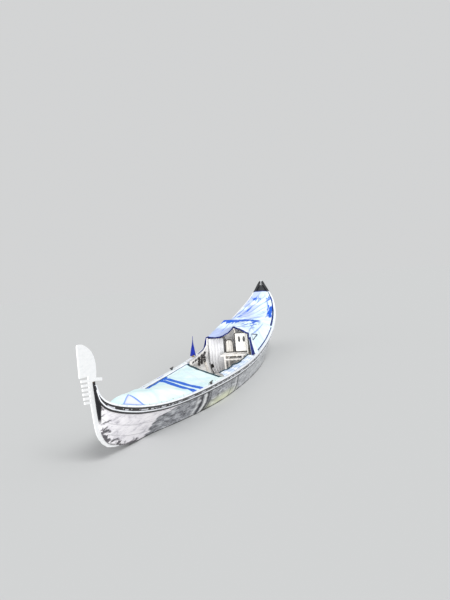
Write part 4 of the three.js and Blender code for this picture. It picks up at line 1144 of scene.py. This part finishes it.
def tent_surface(rows=130, cols=190):
    """The tent's grid, from its front hem aft and from starboard to port, and its marks."""
    s = np.linspace(0, 1, rows)
    lines = []
    for column, (x, y, z, back_y, back_z) in enumerate(TENT):
        at = mix(x, TENT_BACK, s)
        if column in (0, len(TENT) - 1):
            side = -1 if column == 0 else 1
            edge = side * (sheer_half(at, side) - AFT_INSET)
            across = edge if column == 0 else mix(y, edge, np.minimum(1, 6 * s))
            height = rail_top(at) + OVER_RAIL
        else:
            across = mix(y, back_y, s)
            height = mix(z, back_z, s) - 0.008 * np.sin(s * math.pi)
        lines.append(np.stack([at, across, height], axis=-1))
    lines = np.stack(lines, axis=1)
    gaps = np.linalg.norm(np.diff(lines[0], axis=0), axis=-1)
    gaps = np.concatenate([[0], np.cumsum(gaps)])
    c = np.interp(np.linspace(0, gaps[-1], cols), gaps, np.arange(len(TENT)))
    k = np.clip(c.astype(int), 0, len(TENT) - 2)
    part = (c - k)[None, :, None]
    top = lines[:, k] * (1 - part) + lines[:, k + 1] * part
    top = softened(top, cols=2.2)
    c = np.broadcast_to(c[None, :], top.shape[:2])
    back = np.broadcast_to(s[:, None], top.shape[:2])
    x, y = top[..., 0], top[..., 1]

    def crease(path, width):
        """The tent's own near(), for a path of (column, how far back)."""
        return near(c, back * TENT_LONG, [(a, b * TENT_LONG) for a, b in path], width)

    # folds from the poles and corners to the back: path, height, width
    table = [
        ([(5.0, 0.0), (5.3, 0.5), (5.9, 1.0)], 0.016, 0.10),
        ([(5.0, 0.0), (4.5, 0.4), (3.6, 1.0)], 0.014, 0.12),
        ([(5.0, 0.0), (5.8, 0.3), (6.8, 0.9)], 0.012, 0.12),
        ([(1.0, 0.0), (2.0, 0.35), (3.2, 0.9)], 0.012, 0.14),
        ([(1.1, 0.0), (1.6, 0.5), (2.2, 1.0)], 0.010, 0.12),
        ([(7.0, 0.0), (6.5, 0.35), (6.3, 0.8)], 0.014, 0.10),
        ([(7.0, 0.0), (7.3, 0.4), (7.6, 0.9)], 0.014, 0.10),
        ([(7.05, 0.1), (6.9, 0.5), (7.0, 1.0)], 0.012, 0.08),
        ([(6.0, 0.1), (6.2, 0.5), (5.7, 0.95)], 0.010, 0.09),
        ([(2.9, 0.0), (3.2, 0.4), (2.9, 0.9)], 0.010, 0.12),
        ([(0.5, 0.1), (0.8, 0.6), (0.6, 1.0)], 0.010, 0.12),
    ]
    folds = sum(height * crease(path, width) for path, height, width in table)
    folds = folds + 0.003 + 0.0035 * ripples(x, y, 0.4, 12) + 0.0015 * ripples(x, y, 0.14, 13)
    fixed = step_up(np.minimum(c, len(TENT) - 1 - c), 0.0, 0.35)
    normals, _ = grid_normals(top)
    top = top + normals * (folds * fixed)[..., None]
    # blue at the back of the roof, with a jagged edge, and blue streaks that fan out from the ridge to port
    spikes = 0.10 * np.abs(ripples(y, y * 0.3, 0.16, 15)) + 0.04 * ripples(x, y, 0.3, 16)
    blue = step_up(back - 0.83 + spikes, 0.0, 0.04) * step_up(c, 0.9, 1.2) * step_up(7.3 - c, 0.0, 0.4)
    fan = (c - 4.6) / (back + 0.30)
    streaks = step_up(ripples(fan, back * 0.35, 0.36, 18), -0.05, 0.30)
    streaks = streaks * step_up(c, 4.7, 5.3) * step_up(7.15 - c, 0.0, 0.25) * step_up(back, 0.22, 0.5)
    blue = np.maximum(blue, 0.95 * streaks)
    # deep blue lines beside the folds from the poles and corners: painted shade along the folds
    for path, width in (
        ([(7.0, 0.02), (6.75, 0.35), (6.6, 0.95)], 0.07),
        ([(5.05, 0.02), (5.7, 0.25), (6.5, 0.40)], 0.05),
        ([(7.15, 0.1), (7.25, 0.5), (7.35, 0.95)], 0.03),
        ([(3.9, 0.35), (4.1, 0.7), (4.3, 1.0)], 0.05),
        ([(2.1, 0.30), (2.4, 0.6), (2.3, 1.0)], 0.05),
    ):
        blue = np.maximum(blue, 0.85 * crease(path, width))
    shade = step_up(c, 0.9, 1.2) * step_up(4.4 - c, 0, 0.8) * step_up(0.70 - back, 0, 0.3)
    shade = np.maximum(shade, 0.4 * step_up(ripples(x, y, 0.35, 17), 0.4, 1.2))
    # the outline of a patch sewn on the port wall
    z = top[..., 2]
    wall = step_up(c, 6.5, 6.8)
    patch = [(-0.846, 0.925), (-1.310, 0.847), (-0.726, 0.815), (-0.846, 0.925)]
    dark = np.zeros_like(x)
    for a, b in zip(patch[:-1], patch[1:]):
        way = np.array(b) - np.array(a)
        along = np.clip(((x - a[0]) * way[0] + (z - a[1]) * way[1]) / (way @ way), 0, 1)
        away = np.hypot(x - a[0] - along * way[0], z - a[1] - along * way[1])
        dark = np.maximum(dark, step_up(0.013 - away, 0.0, 0.006) * wall)
    return top, {"blue": np.clip(blue, 0, 1), "shade": shade, "dark": dark}


tent_top, marks = tent_surface()
tent = add_sheet("tent", tent_top, TARPAULIN, BLUE_CLOTH, marks)


def lifted(grid, rows, cols, lift):
    """Part of a grid, moved out from it as the ground of a sewn band, and the way it faces there."""
    normals, _ = grid_normals(grid)
    return (grid + normals * lift)[rows, cols], normals[rows, cols]


# The tent's port corner, where its front hem ends and the strap begins
corner = int(tent_top.shape[1] * 0.80)
tent_trim = [
    add_sheet(name, lifted(tent_top, rows, cols, lift)[0], thick, NAVY_TAPE)
    for name, rows, cols, lift, thick in (
        ("tent_front_hem", slice(0, 4), slice(4, corner), 0.0020, TAPE_THICK),
        ("tent_port_strap", slice(0, 12), slice(corner - 2, None), 0.0022, 0.002),
        # a navy band along the port foot: painted shadow of the gap between the tent's foot and the rail
        ("tent_port_foot_painted_shadow", slice(24, -2), slice(-5, -1), 0.0024, TAPE_THICK),
    )
]
# The rope sewn into the tent's front hem, and the strap that ties its starboard corner down to the rail; the
# navy strap is also painted shadow, the dark line along the tent's edge and the rail's inner edge
front = tent_top[0, 2 : corner + 2 : 2] + np.array((0.006, 0, -0.008))
tent_trim.append(add_tube("tent_front_rope", [(front, np.linspace(0.015, 0.011, len(front)))], NAVY_TAPE))
tie = [
    (-1.212, -0.458, 0.864), (-1.185, -0.478, 0.790), (-1.150, -0.490, 0.715), (-1.085, -0.497, 0.640),
    (-0.980, -0.499, 0.622), (-0.840, -0.512, 0.603), (-0.700, -0.520, 0.588),
]
tent_trim.append(add_tube("tent_starboard_tie_and_shadow", [(dense(tie, 0.02), 0.009)], NAVY_TAPE))

# The stern cover, from the seat back to the black stern
STERN_COVER = {"fore": -2.47, "aft": -4.64, "rise": 0.152, "end": 0.026}


def stern_cover_surface(rows=170, cols=111):
    """The stern cover's grid, from its fore edge aft and from starboard to port, and its marks."""
    s = np.linspace(0, 1, rows)[:, None]
    q = np.linspace(-1, 1, cols)[None, :]
    x = np.broadcast_to(mix(STERN_COVER["fore"], STERN_COVER["aft"], s), (rows, cols))
    q = np.broadcast_to(q, x.shape)
    rise = mix(STERN_COVER["rise"], STERN_COVER["end"], np.minimum(1, s * 2.4))
    rise = softened(np.broadcast_to(rise, x.shape), rows=6)
    y = q * (sheer_half(x, q) - AFT_INSET)
    crown = 1 - np.abs(q) ** np.where(q > 0, 3, 8)
    z = rail_top(x) + OVER_RAIL + rise * crown
    # folds that run aft and to port: path, height, width
    lines = [
        ([(-2.55, -0.34), (-3.10, 0.10), (-3.79, 0.42)], 0.016, 0.030),
        ([(-2.60, -0.33), (-3.35, 0.02), (-4.04, 0.34)], 0.014, 0.028),
        ([(-2.70, -0.32), (-3.60, -0.04), (-4.37, 0.28)], 0.014, 0.028),
        ([(-2.50, -0.30), (-2.80, 0.20), (-3.10, 0.62)], 0.014, 0.032),
        ([(-2.85, -0.33), (-3.80, -0.12), (-4.50, 0.12)], 0.012, 0.028),
        ([(-2.50, 0.10), (-2.62, 0.40), (-2.78, 0.66)], 0.010, 0.030),
        ([(-3.30, 0.52), (-3.70, 0.46), (-4.20, 0.34)], 0.012, 0.030),
        ([(-3.00, -0.30), (-3.90, -0.20), (-4.55, -0.06)], 0.008, 0.030),
    ]
    folds = sum(height * near(x, y, path, width) for path, height, width in lines)
    folds = folds + 0.004 * ripples(x, y, 0.45, 21) + 0.0015 * ripples(x, y, 0.15, 22)
    fixed = step_up(1 - np.abs(q), 0.0, 0.12)
    z = z + folds * fixed
    # blue creases that fan out from the front starboard corner, and a blue streak along the port side
    fan_x, fan_y = -2.20, -0.42
    turn, far = np.arctan2(y - fan_y, fan_x - x), np.hypot(y - fan_y, x - fan_x)
    blue = 0.9 * step_up(ripples(turn, far * 0.05, 0.075, 24), 0.35, 0.9) * step_up(0.50 - y, 0.0, 0.12)
    blue = blue * (0.45 + 0.55 * step_up(ripples(turn, far, 0.7, 27), -0.6, 0.4))
    # deep blue just aft of and to starboard of the folds, on their side away from the light: painted shade
    # along the folds
    for path, _, width in lines[:7]:
        moved = [(a - 0.02, b - 0.012) for a, b in path]
        blue = np.maximum(blue, 0.85 * near(x, y, moved, width * 0.55))
    # two ragged patches: one along the port side, one across the aft end. A lap crosses the fore end.
    inside = np.minimum(np.minimum(x + 3.90, -2.96 - x) * 0.4, 0.092 - np.abs(y - 0.58 - 0.1 * (x + 3.05)))
    ragged = step_up(inside + 0.032 * ripples(y, x * 0.10, 0.05, 25), 0.028, 0.042)
    inside = np.minimum(x + 4.50, -4.02 - x) * 0.5
    ragged = np.maximum(ragged, step_up(inside + 0.07 * ripples(y, x * 0.10, 0.05, 26), 0.10, 0.13))
    lap = step_up(x + 2.60 + 0.03 * ripples(y, x, 0.18, 28), 0.0, 0.03) * step_up(0.42 - y, 0.0, 0.1)
    blue = np.maximum(np.maximum(blue, ragged), lap)
    shade = 0.9 * step_up(0.25 - y, -0.1, 0.25) * step_up(ripples(x, y, 0.6, 23) + 0.6, 0, 0.8)
    return np.stack([x, y, z], axis=-1), {"blue": blue, "shade": shade}


stern_top, marks = stern_cover_surface()
stern_cover = add_sheet("stern_cover_cloth", stern_top, TARPAULIN, BLUE_CLOTH, marks)
# The tent's back edge is turned down to the stern cover, 4 mm into it.
_, back_y, back_z = tent_top[-1, 4:-4].T
low = np.interp(back_y, stern_top[0, :, 1], stern_top[0, :, 2]) - 0.004
drop = np.linspace(0, 1, 8)[:, None]
flap_z = mix(back_z - 0.002, np.minimum(low, back_z - 0.006), drop)
flap = np.stack([np.full_like(flap_z, TENT_BACK - 0.0025), back_y + 0 * drop, flap_z], axis=-1)
tent_trim.append(add_sheet("tent_back_flap", flap, CLOTH_THICK, NAVY_TAPE))
stern_trim = [
    add_sheet(name, lifted(stern_top, rows, cols, 0.002)[0], TAPE_THICK, NAVY_TAPE)
    for name, rows, cols in (
        # a navy band along the port edge: painted shadow that the cover's edge throws on the rail
        ("stern_cover_port_painted_shadow", slice(2, -2), slice(-5, -1)),
        ("stern_cover_aft_hem", slice(-4, None), slice(3, -3)),
    )
]

# The curtain at the front of the tent, on its starboard side, in five deep folds
CURTAIN = {"x": -1.212, "low": 0.082, "high": 0.826, "inner": -0.084, "folds": 5}
# The line of its outer edge: height, y
CURTAIN_EDGE = np.array([(82, -345), (260, -412), (826, -414)]) / 1000


def curtain_surface(rows=70, cols=181):
    """The curtain's grid, from its foot up and from starboard to port, and its marks."""
    z = np.linspace(CURTAIN["low"], CURTAIN["high"], rows)[:, None]
    t = np.linspace(0, 1, cols)[None, :]
    edge = np.interp(z, CURTAIN_EDGE[:, 0], CURTAIN_EDGE[:, 1])
    y = mix(edge, CURTAIN["inner"], t)
    hang = (CURTAIN["high"] - z) / (CURTAIN["high"] - CURTAIN["low"])
    turn = 2 * math.pi * CURTAIN["folds"] * (t + 0.012 * np.sin(7 * z) * hang)
    wave = 0.022 + 0.011 * np.sin(turn) + 0.003 * np.sin(2 * turn + 2 * z) * hang
    x = CURTAIN["x"] + wave + 0.005 * np.ones_like(y)
    y = y + 0.006 * np.sin(turn * 2 + 0.6) * (0.4 + hang)
    # grey lines in the hollows of the folds, broken here and there: painted shade
    broken = step_up(ripples(z + 0 * y, turn * 0.05, 0.5, 31), -0.4, 0.3)
    blue = 0.7 * step_up(-np.sin(turn), 0.93, 1.0) * broken
    # a dark round blot low at the starboard edge
    dark_blot = step_up(0.050 - np.hypot(y + 0.375, z - 0.237), 0.0, 0.012)
    return np.stack(np.broadcast_arrays(x, y, z), axis=-1), {"blue": blue, "shade": dark_blot}


top, marks = curtain_surface()
curtain = add_sheet("curtain", top, CLOTH_THICK, CURTAIN_CLOTH, marks)

# The hood over the rail ornament: gathered canvas, tied in at its peak
ORNAMENT = {"x": -0.42, "out": 0.015, "lean": 0.075}
# The hood's height and radius, from its foot to its peak
HOOD = np.array(
    [
        (18, 59), (46, 54), (100, 43), (180, 30), (230, 20), (270, 13), (340, 6), (405, 4.5), (421, 3),
        (424, 0.6),
    ]
) / 1000


def hood_surface(rows=70, cols=84):
    """The hood's grid, from its foot up and once round, and its marks."""
    turn = np.linspace(0, 2 * math.pi, cols, endpoint=False)[None, :]
    s = np.linspace(0, 1, rows)[:, None]
    open_at = np.exp(-(((turn - 0.55 + math.pi) % (2 * math.pi) - math.pi) / 0.30) ** 2)
    foot = 0.018 + 0.045 * open_at
    up = mix(foot, HOOD[-1, 0], s)
    radius = np.interp(up, HOOD[:, 0], HOOD[:, 1])
    gather = np.cos(7 * turn + 3 * up / 0.4) + 0.5 * np.cos(11 * turn + 1.3)
    radius = radius * (1 + 0.075 * gather * step_up(0.40 - up, 0.0, 0.25))
    side, ahead = radius * np.cos(turn), radius * np.sin(turn)
    lean = ORNAMENT["lean"]
    x = ORNAMENT["x"] + side + 0 * up
    rail_y = -float(sheer_half(ORNAMENT["x"], -1))
    y = ORNAMENT["out"] + rail_y + up * math.sin(lean) + ahead * math.cos(lean)
    z = float(rail_top(ORNAMENT["x"])) + 0.009 + up * math.cos(lean) - ahead * math.sin(lean)
    # darker navy in the hollows of the gathers: painted shade
    deep = 0.5 * step_up(-gather, 0.2, 1.2) * np.ones_like(x)
    return np.stack(np.broadcast_arrays(x, y, z), axis=-1), {"blue": deep, "shade": np.zeros_like(x)}


top, marks = hood_surface()
hood = add_sheet("hood", top, CLOTH_THICK, HOOD_CLOTH, marks, loop=True)


# The seat cushion: its solid, remeshed and blown up as a stuffed cover

WELD = 1e-5  # metres: joins the corners that a solid's loose triangles share
CLOTH_FRAMES = 20


def stuffed(name, node_name, voxel, swell, inset, material):
    """A solid made smaller by the inset, remeshed, and swollen by no more than swell over a flat foot."""
    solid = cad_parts[node_name]
    mesh = solid.data.copy()
    mesh.name = name
    mesh.materials.clear()
    mesh.materials.append(material)
    made = bpy.data.objects.new(name, mesh)
    scene.collection.objects.link(made)
    co = np.array([v.co for v in mesh.vertices])
    lo, hi = co.min(0), co.max(0)
    middle, half = (lo + hi) / 2, (hi - lo) / 2
    co = middle + (co - middle) * ((half - inset) / half)
    mesh.vertices.foreach_set("co", co.ravel())
    bpy.context.view_layer.objects.active = made
    for selected in bpy.context.selected_objects:
        selected.select_set(False)
    made.select_set(True)
    weld = made.modifiers.new("weld", "WELD")
    weld.merge_threshold = WELD
    bpy.ops.object.modifier_apply(modifier=weld.name)
    remesh = made.modifiers.new("remesh", "REMESH")
    remesh.mode, remesh.voxel_size = "VOXEL", voxel
    bpy.ops.object.modifier_apply(modifier=remesh.name)
    before = np.array([v.co for v in made.data.vertices])
    cloth = made.modifiers.new("cloth", "CLOTH")
    cloth.settings.use_pressure = True
    cloth.settings.uniform_pressure_force = 4
    cloth.settings.effector_weights.gravity = 0
    for number in range(1, CLOTH_FRAMES + 1):
        scene.frame_set(number)
    blown = made.evaluated_get(bpy.context.evaluated_depsgraph_get())
    after = np.array([v.co for v in blown.data.vertices])
    made.modifiers.remove(cloth)
    scene.frame_set(1)
    moved = after - before
    far = np.linalg.norm(moved, axis=1, keepdims=True)
    after = before + moved * np.minimum(1, swell / np.maximum(far, 1e-9))
    after[:, 2] = np.maximum(after[:, 2], lo[2] + 0.001)
    made.data.vertices.foreach_set("co", after.ravel())
    sub = made.modifiers.new("smooth", "SUBSURF")
    sub.levels = sub.render_levels = 1
    bpy.ops.object.modifier_apply(modifier=sub.name)
    made.data.polygons.foreach_set("use_smooth", [True] * len(made.data.polygons))
    made.data.update()
    return made


cushion = stuffed(
    "seat_cushion", "main_seat_cushion", voxel=0.012, swell=0.022, inset=0.014, material=CUSHION_CLOTH,
)


# Small fittings along lines, made by node trees


def fitting_tree(name, shape, material):
    """A tree that sets rings or domed nails along lines, standing the way the lines' facing attribute says.
    A fitting is made about 1 m across, and its Size makes it smaller."""
    tree = bpy.data.node_groups.new(name, "GeometryNodeTree")
    for label, kind in (("Lines", "Geometry"), ("Spacing", "Float"), ("Size", "Float")):
        tree.interface.new_socket(label, in_out="INPUT", socket_type="NodeSocket" + kind)
    tree.interface.new_socket("Fittings", in_out="OUTPUT", socket_type="NodeSocketGeometry")
    given = node(tree, "NodeGroupInput")
    line = node(tree, "GeometryNodeMeshToCurve", {"Mesh": given.outputs["Lines"]})
    spaced = node(
        tree, "GeometryNodeResampleCurve",
        {"Curve": line.outputs[0], "Length": given.outputs["Spacing"]}, mode="LENGTH",
    )
    facing = node(tree, "GeometryNodeInputNamedAttribute", {"Name": "facing"}, data_type="FLOAT_VECTOR")
    upright = node(
        tree, "FunctionNodeAlignRotationToVector", {"Vector": facing.outputs["Attribute"]}, axis="Z",
    )
    turned = node(
        tree, "FunctionNodeAlignRotationToVector",
        {"Rotation": upright.outputs[0], "Vector": node(tree, "GeometryNodeInputTangent").outputs[0]},
        axis="X", pivot_axis="Z",
    )
    if shape == "ring":
        circle = node(tree, "GeometryNodeCurvePrimitiveCircle", {"Resolution": 12, "Radius": 0.42})
        wire = node(tree, "GeometryNodeCurvePrimitiveCircle", {"Resolution": 6, "Radius": 0.13})
        item = node(
            tree, "GeometryNodeCurveToMesh",
            {"Curve": circle.outputs["Curve"], "Profile Curve": wire.outputs["Curve"]},
        )
    else:
        ball = node(tree, "GeometryNodeMeshUVSphere", {"Segments": 8, "Rings": 5, "Radius": 0.5})
        item = node(tree, "GeometryNodeTransform", {"Geometry": ball.outputs["Mesh"], "Scale": (1, 1, 0.5)})
    placed = node(
        tree, "GeometryNodeInstanceOnPoints",
        {
            "Points": spaced.outputs[0], "Instance": item.outputs[0],
            "Rotation": turned.outputs[0], "Scale": given.outputs["Size"],
        },
    )
    real = node(tree, "GeometryNodeRealizeInstances", {"Geometry": placed.outputs[0]})
    shaded = node(tree, "GeometryNodeSetShadeSmooth", {"Geometry": real.outputs[0]})
    covered = node(tree, "GeometryNodeSetMaterial", {"Geometry": shaded.outputs[0], "Material": material})
    node(tree, "NodeGroupOutput", {"Fittings": covered.outputs[0]})
    return tree


def set_along(name, tree, lines, spacing, size):
    """Fittings along lines. Each line is (points, the way each point faces)."""
    points = np.concatenate([np.array(p, float) for p, _ in lines])
    facing = np.concatenate([np.array(f, float) for _, f in lines])
    edges, start = [], 0
    for p, _ in lines:
        edges += [(start + k, start + k + 1) for k in range(len(p) - 1)]
        start += len(p)
    mesh = bpy.data.meshes.new(name)
    mesh.from_pydata([tuple(p) for p in points], edges, [])
    layer = mesh.attributes.new("facing", "FLOAT_VECTOR", "POINT")
    layer.data.foreach_set("vector", facing.astype(np.float32).ravel())
    made = bpy.data.objects.new(name, mesh)
    scene.collection.objects.link(made)
    modifier = made.modifiers.new("fittings", "NODES")
    modifier.node_group = tree
    for socket in tree.interface.items_tree:
        if socket.in_out == "INPUT" and socket.name in ("Spacing", "Size"):
            modifier[socket.identifier] = {"Spacing": spacing, "Size": size}[socket.name]
    graph = bpy.context.evaluated_depsgraph_get()
    built = bpy.data.meshes.new_from_object(made.evaluated_get(graph))
    made.modifiers.remove(modifier)
    made.data = built
    return made


NAILS = fitting_tree("nails", "nail", STEEL)
EYELETS = fitting_tree("eyelets", "ring", BRASS)
STATION = 0.08  # how far apart the points of a line along the side stand


def along_side(surface, side, depth, start, end):
    """A line on the outside of a band along the boat, so far under the sheer, and the way it faces."""
    points, facing = [], []
    for x in np.arange(start, end, STATION):
        z = float(fair(x, SHEER)[0]) - depth
        place, normal, _, _ = surface.ray_cast((x, side * CLEAR_OF_BOAT, z), (0, -side, 0))
        if place is not None:
            points.append(place)
            facing.append(normal)
    return points, facing


band_nails = set_along(
    "band_nails", NAILS,
    [
        along_side(cad_surface("sheer_strake_" + name), side, 0.026, -4.9, 4.9)
        for name, side in (("port", 1), ("starboard", -1))
    ],
    spacing=0.17, size=0.011,
)
rail_lines = []
for side in (1, -1):
    x = np.arange(-4.5, 4.8, STATION)
    y = side * (sheer_half(x, side) + 0.004)
    rail_lines.append((np.stack([x, y, rail_top(x)], axis=-1), [(0, 0, 1)] * len(x)))
rail_nails = set_along("rail_nails", NAILS, rail_lines, spacing=0.34, size=0.009)

# Eyelets along the covers' side edges: a cover's grid, and the column that they follow
eyelets = set_along(
    "cover_eyelets", EYELETS,
    [
        lifted(grid, slice(3, -3), column, 0.001)
        for grid, column in ((bow_top, 3), (bow_top, -4), (stern_top, 2), (stern_top, -8), (tent_top, 3))
    ],
    spacing=0.29, size=0.018,
)


# Carved scrolls on the sides of the well, around the pierced openings

SCROLL_TURNS = 1.35


def scroll(x, z, size, hand):
    """A scroll that winds in round a place, half as wide again as high: its (x, z) points and radii."""
    t = np.linspace(0, 1, 30)
    radius = size * (1 - 0.82 * t)
    turn = hand * (t * SCROLL_TURNS * 2 * math.pi) + 0.4
    flat = np.stack([x + radius * np.cos(turn) * 1.5, z + radius * np.sin(turn)], axis=-1)
    return flat, 0.009 * (1 - 0.55 * t)


def bracket(x, low, high, hand):
    """An S of two scrolls, one over the other: its (x, z) points and radii."""
    t = np.linspace(-1, 1, 60)
    turn = math.pi * (0.5 + 1.25 * (1 - np.abs(t))) * 1.3
    radius = (high - low) * 0.25 * (0.25 + 0.75 * np.abs(t) ** 0.6)
    middle = np.where(t < 0, mix(low, high, 0.27), mix(low, high, 0.73))
    across = x + hand * np.sign(t) * radius * np.sin(turn) * 1.6
    up = middle + np.sign(t) * radius * np.cos(turn)
    return softened(np.stack([across, up], axis=-1), rows=1.2), 0.015 * (1 - 0.35 * np.abs(t))


def on_board(line, y):
    """A line drawn on a board that stands fore and aft at y."""
    flat, radii = line
    return np.stack([flat[:, 0], np.full(len(flat), y), flat[:, 1]], axis=-1), radii


# The pierced openings: x, z, half length, half height
CARVED_HOLES = np.array(
    [(-60, 462, 60, 22), (-230, 470, 70, 28), (-430, 480, 78, 34), (-650, 492, 84, 40), (-870, 506, 76, 46)]
) / 1000
# The starboard board's brackets: x, and the hand that they turn to
BRACKETS = ((-0.44, 1), (-0.62, 1), (-0.81, -1))
for name, y, lift in (("starboard", -0.422, 0.06), ("port", 0.676, 0.0)):
    lines = [
        on_board(scroll(x + offset * rx * 0.95, z + lift, rz * 0.80, hand), y)
        for x, z, rx, rz in CARVED_HOLES
        for offset, hand in ((-0.5, 1), (0.5, -1))
    ]
    if name == "starboard":
        lines += [on_board(bracket(x, 0.36, 0.58, hand), y + 0.004) for x, hand in BRACKETS]
    scrolls = add_tube("carved_scrolls_" + name, lines, WALNUT)
    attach(scrolls, "root")


# Dark mouldings round the front faces of the two chair backs


def board_outline(node_name, inset):
    """The outline of a board's front face, moved in by an inset: its x, then (y, z) points."""
    points = np.array([v.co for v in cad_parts[node_name].data.vertices])
    front = points[:, 0].max()
    flat = sorted({(round(float(y), 4), round(float(z), 4)) for x, y, z in points if x > front - 0.002})
    loop = []
    for way in (flat, flat[::-1]):
        part = []
        for p in way:
            # a corner that doesn't turn left isn't on the outline
            while len(part) > 1 and np.cross(np.subtract(part[-1], part[-2]), np.subtract(p, part[-1])) <= 0:
                part.pop()
            part.append(p)
        loop += part[:-1]
    loop = np.array(loop)
    middle = (loop.min(0) + loop.max(0)) / 2
    loop = loop + unit(middle - loop) * inset
    return front, np.concatenate([loop, loop[:1]])


MOULDING = {"inset": 0.012, "radius": 0.010, "proud": 0.003}
chair_lines = []
for node_name in ("chair_back_tall", "chair_back_round"):
    front, loop = board_outline(node_name, MOULDING["inset"])
    loop = dense(loop, 0.015)
    x = np.full((len(loop), 1), front + MOULDING["proud"])
    chair_lines.append((np.concatenate([x, loop], axis=1), MOULDING["radius"]))
mouldings = add_tube("chair_back_mouldings", chair_lines, WALNUT)
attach(mouldings, "root")


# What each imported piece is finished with

FINISH = {
    "side_planking": HULL, "bottom_planking": HULL, "stem_post": HULL, "stern_post": HULL,
    "cap_rail": RAIL, "rub_bead": RAIL, "sheer_strake": BLACK, "cleat": BLACK,
    "fore_deck": DECK, "aft_deck": DECK, "rib": TIMBER, "thwart": TIMBER, "tent_": TIMBER,
    "floor_panel": BOARDS, "main_seat_box": CREAM, "passenger_bench": WORN_CREAM,
    "chair_back_round": SHADED_SLATS, "chair_back_tall": CREAM, "main_seat_back": CARVED,
    "side_carving": CARVED, "bow_iron": STEEL, "stern_iron": STEEL, "rail_ornament": BRASS,
}
for name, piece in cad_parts.items():
    for start, material in FINISH.items():
        if name.startswith(start):
            piece.data.materials.clear()
            piece.data.materials.append(material)
            piece.data.polygons.foreach_set("use_smooth", [True] * len(piece.data.polygons))
            join = piece.modifiers.new("join", "WELD")
            join.merge_threshold = WELD
            edges = piece.modifiers.new("edges", "EDGE_SPLIT")
            edges.split_angle = math.radians(32)
            shading = piece.modifiers.new("shading", "WEIGHTED_NORMAL")
            shading.keep_sharp = False

for piece, slot_name, nodes in (
    (fore_cover, "bow_tarpaulin", ["fore_cover"]),
    (side_cover, "blue_tarpaulin", ["side_cover_port"]),
    (tent, "blue_tarpaulin", ["tent_cover"]),
    (stern_cover, "blue_tarpaulin", ["stern_cover"]),
    (curtain, "curtain_cloth", ["hanging_curtain"]),
    (hood, "hood_cloth", ["ornament_hood"]),
    (cushion, "cushion_cloth", ["main_seat_cushion"]),
    (band_nails, "steel", []),
    (rail_nails, "steel", []),
    (eyelets, "brass", []),
    (piping, "blue_tarpaulin", []),
    *[(trim, "bow_tarpaulin", []) for trim in bow_tapes],
    *[(trim, "blue_tarpaulin", []) for trim in tent_trim + stern_trim],
):
    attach(piece, "root")
    if nodes:
        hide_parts(*nodes)
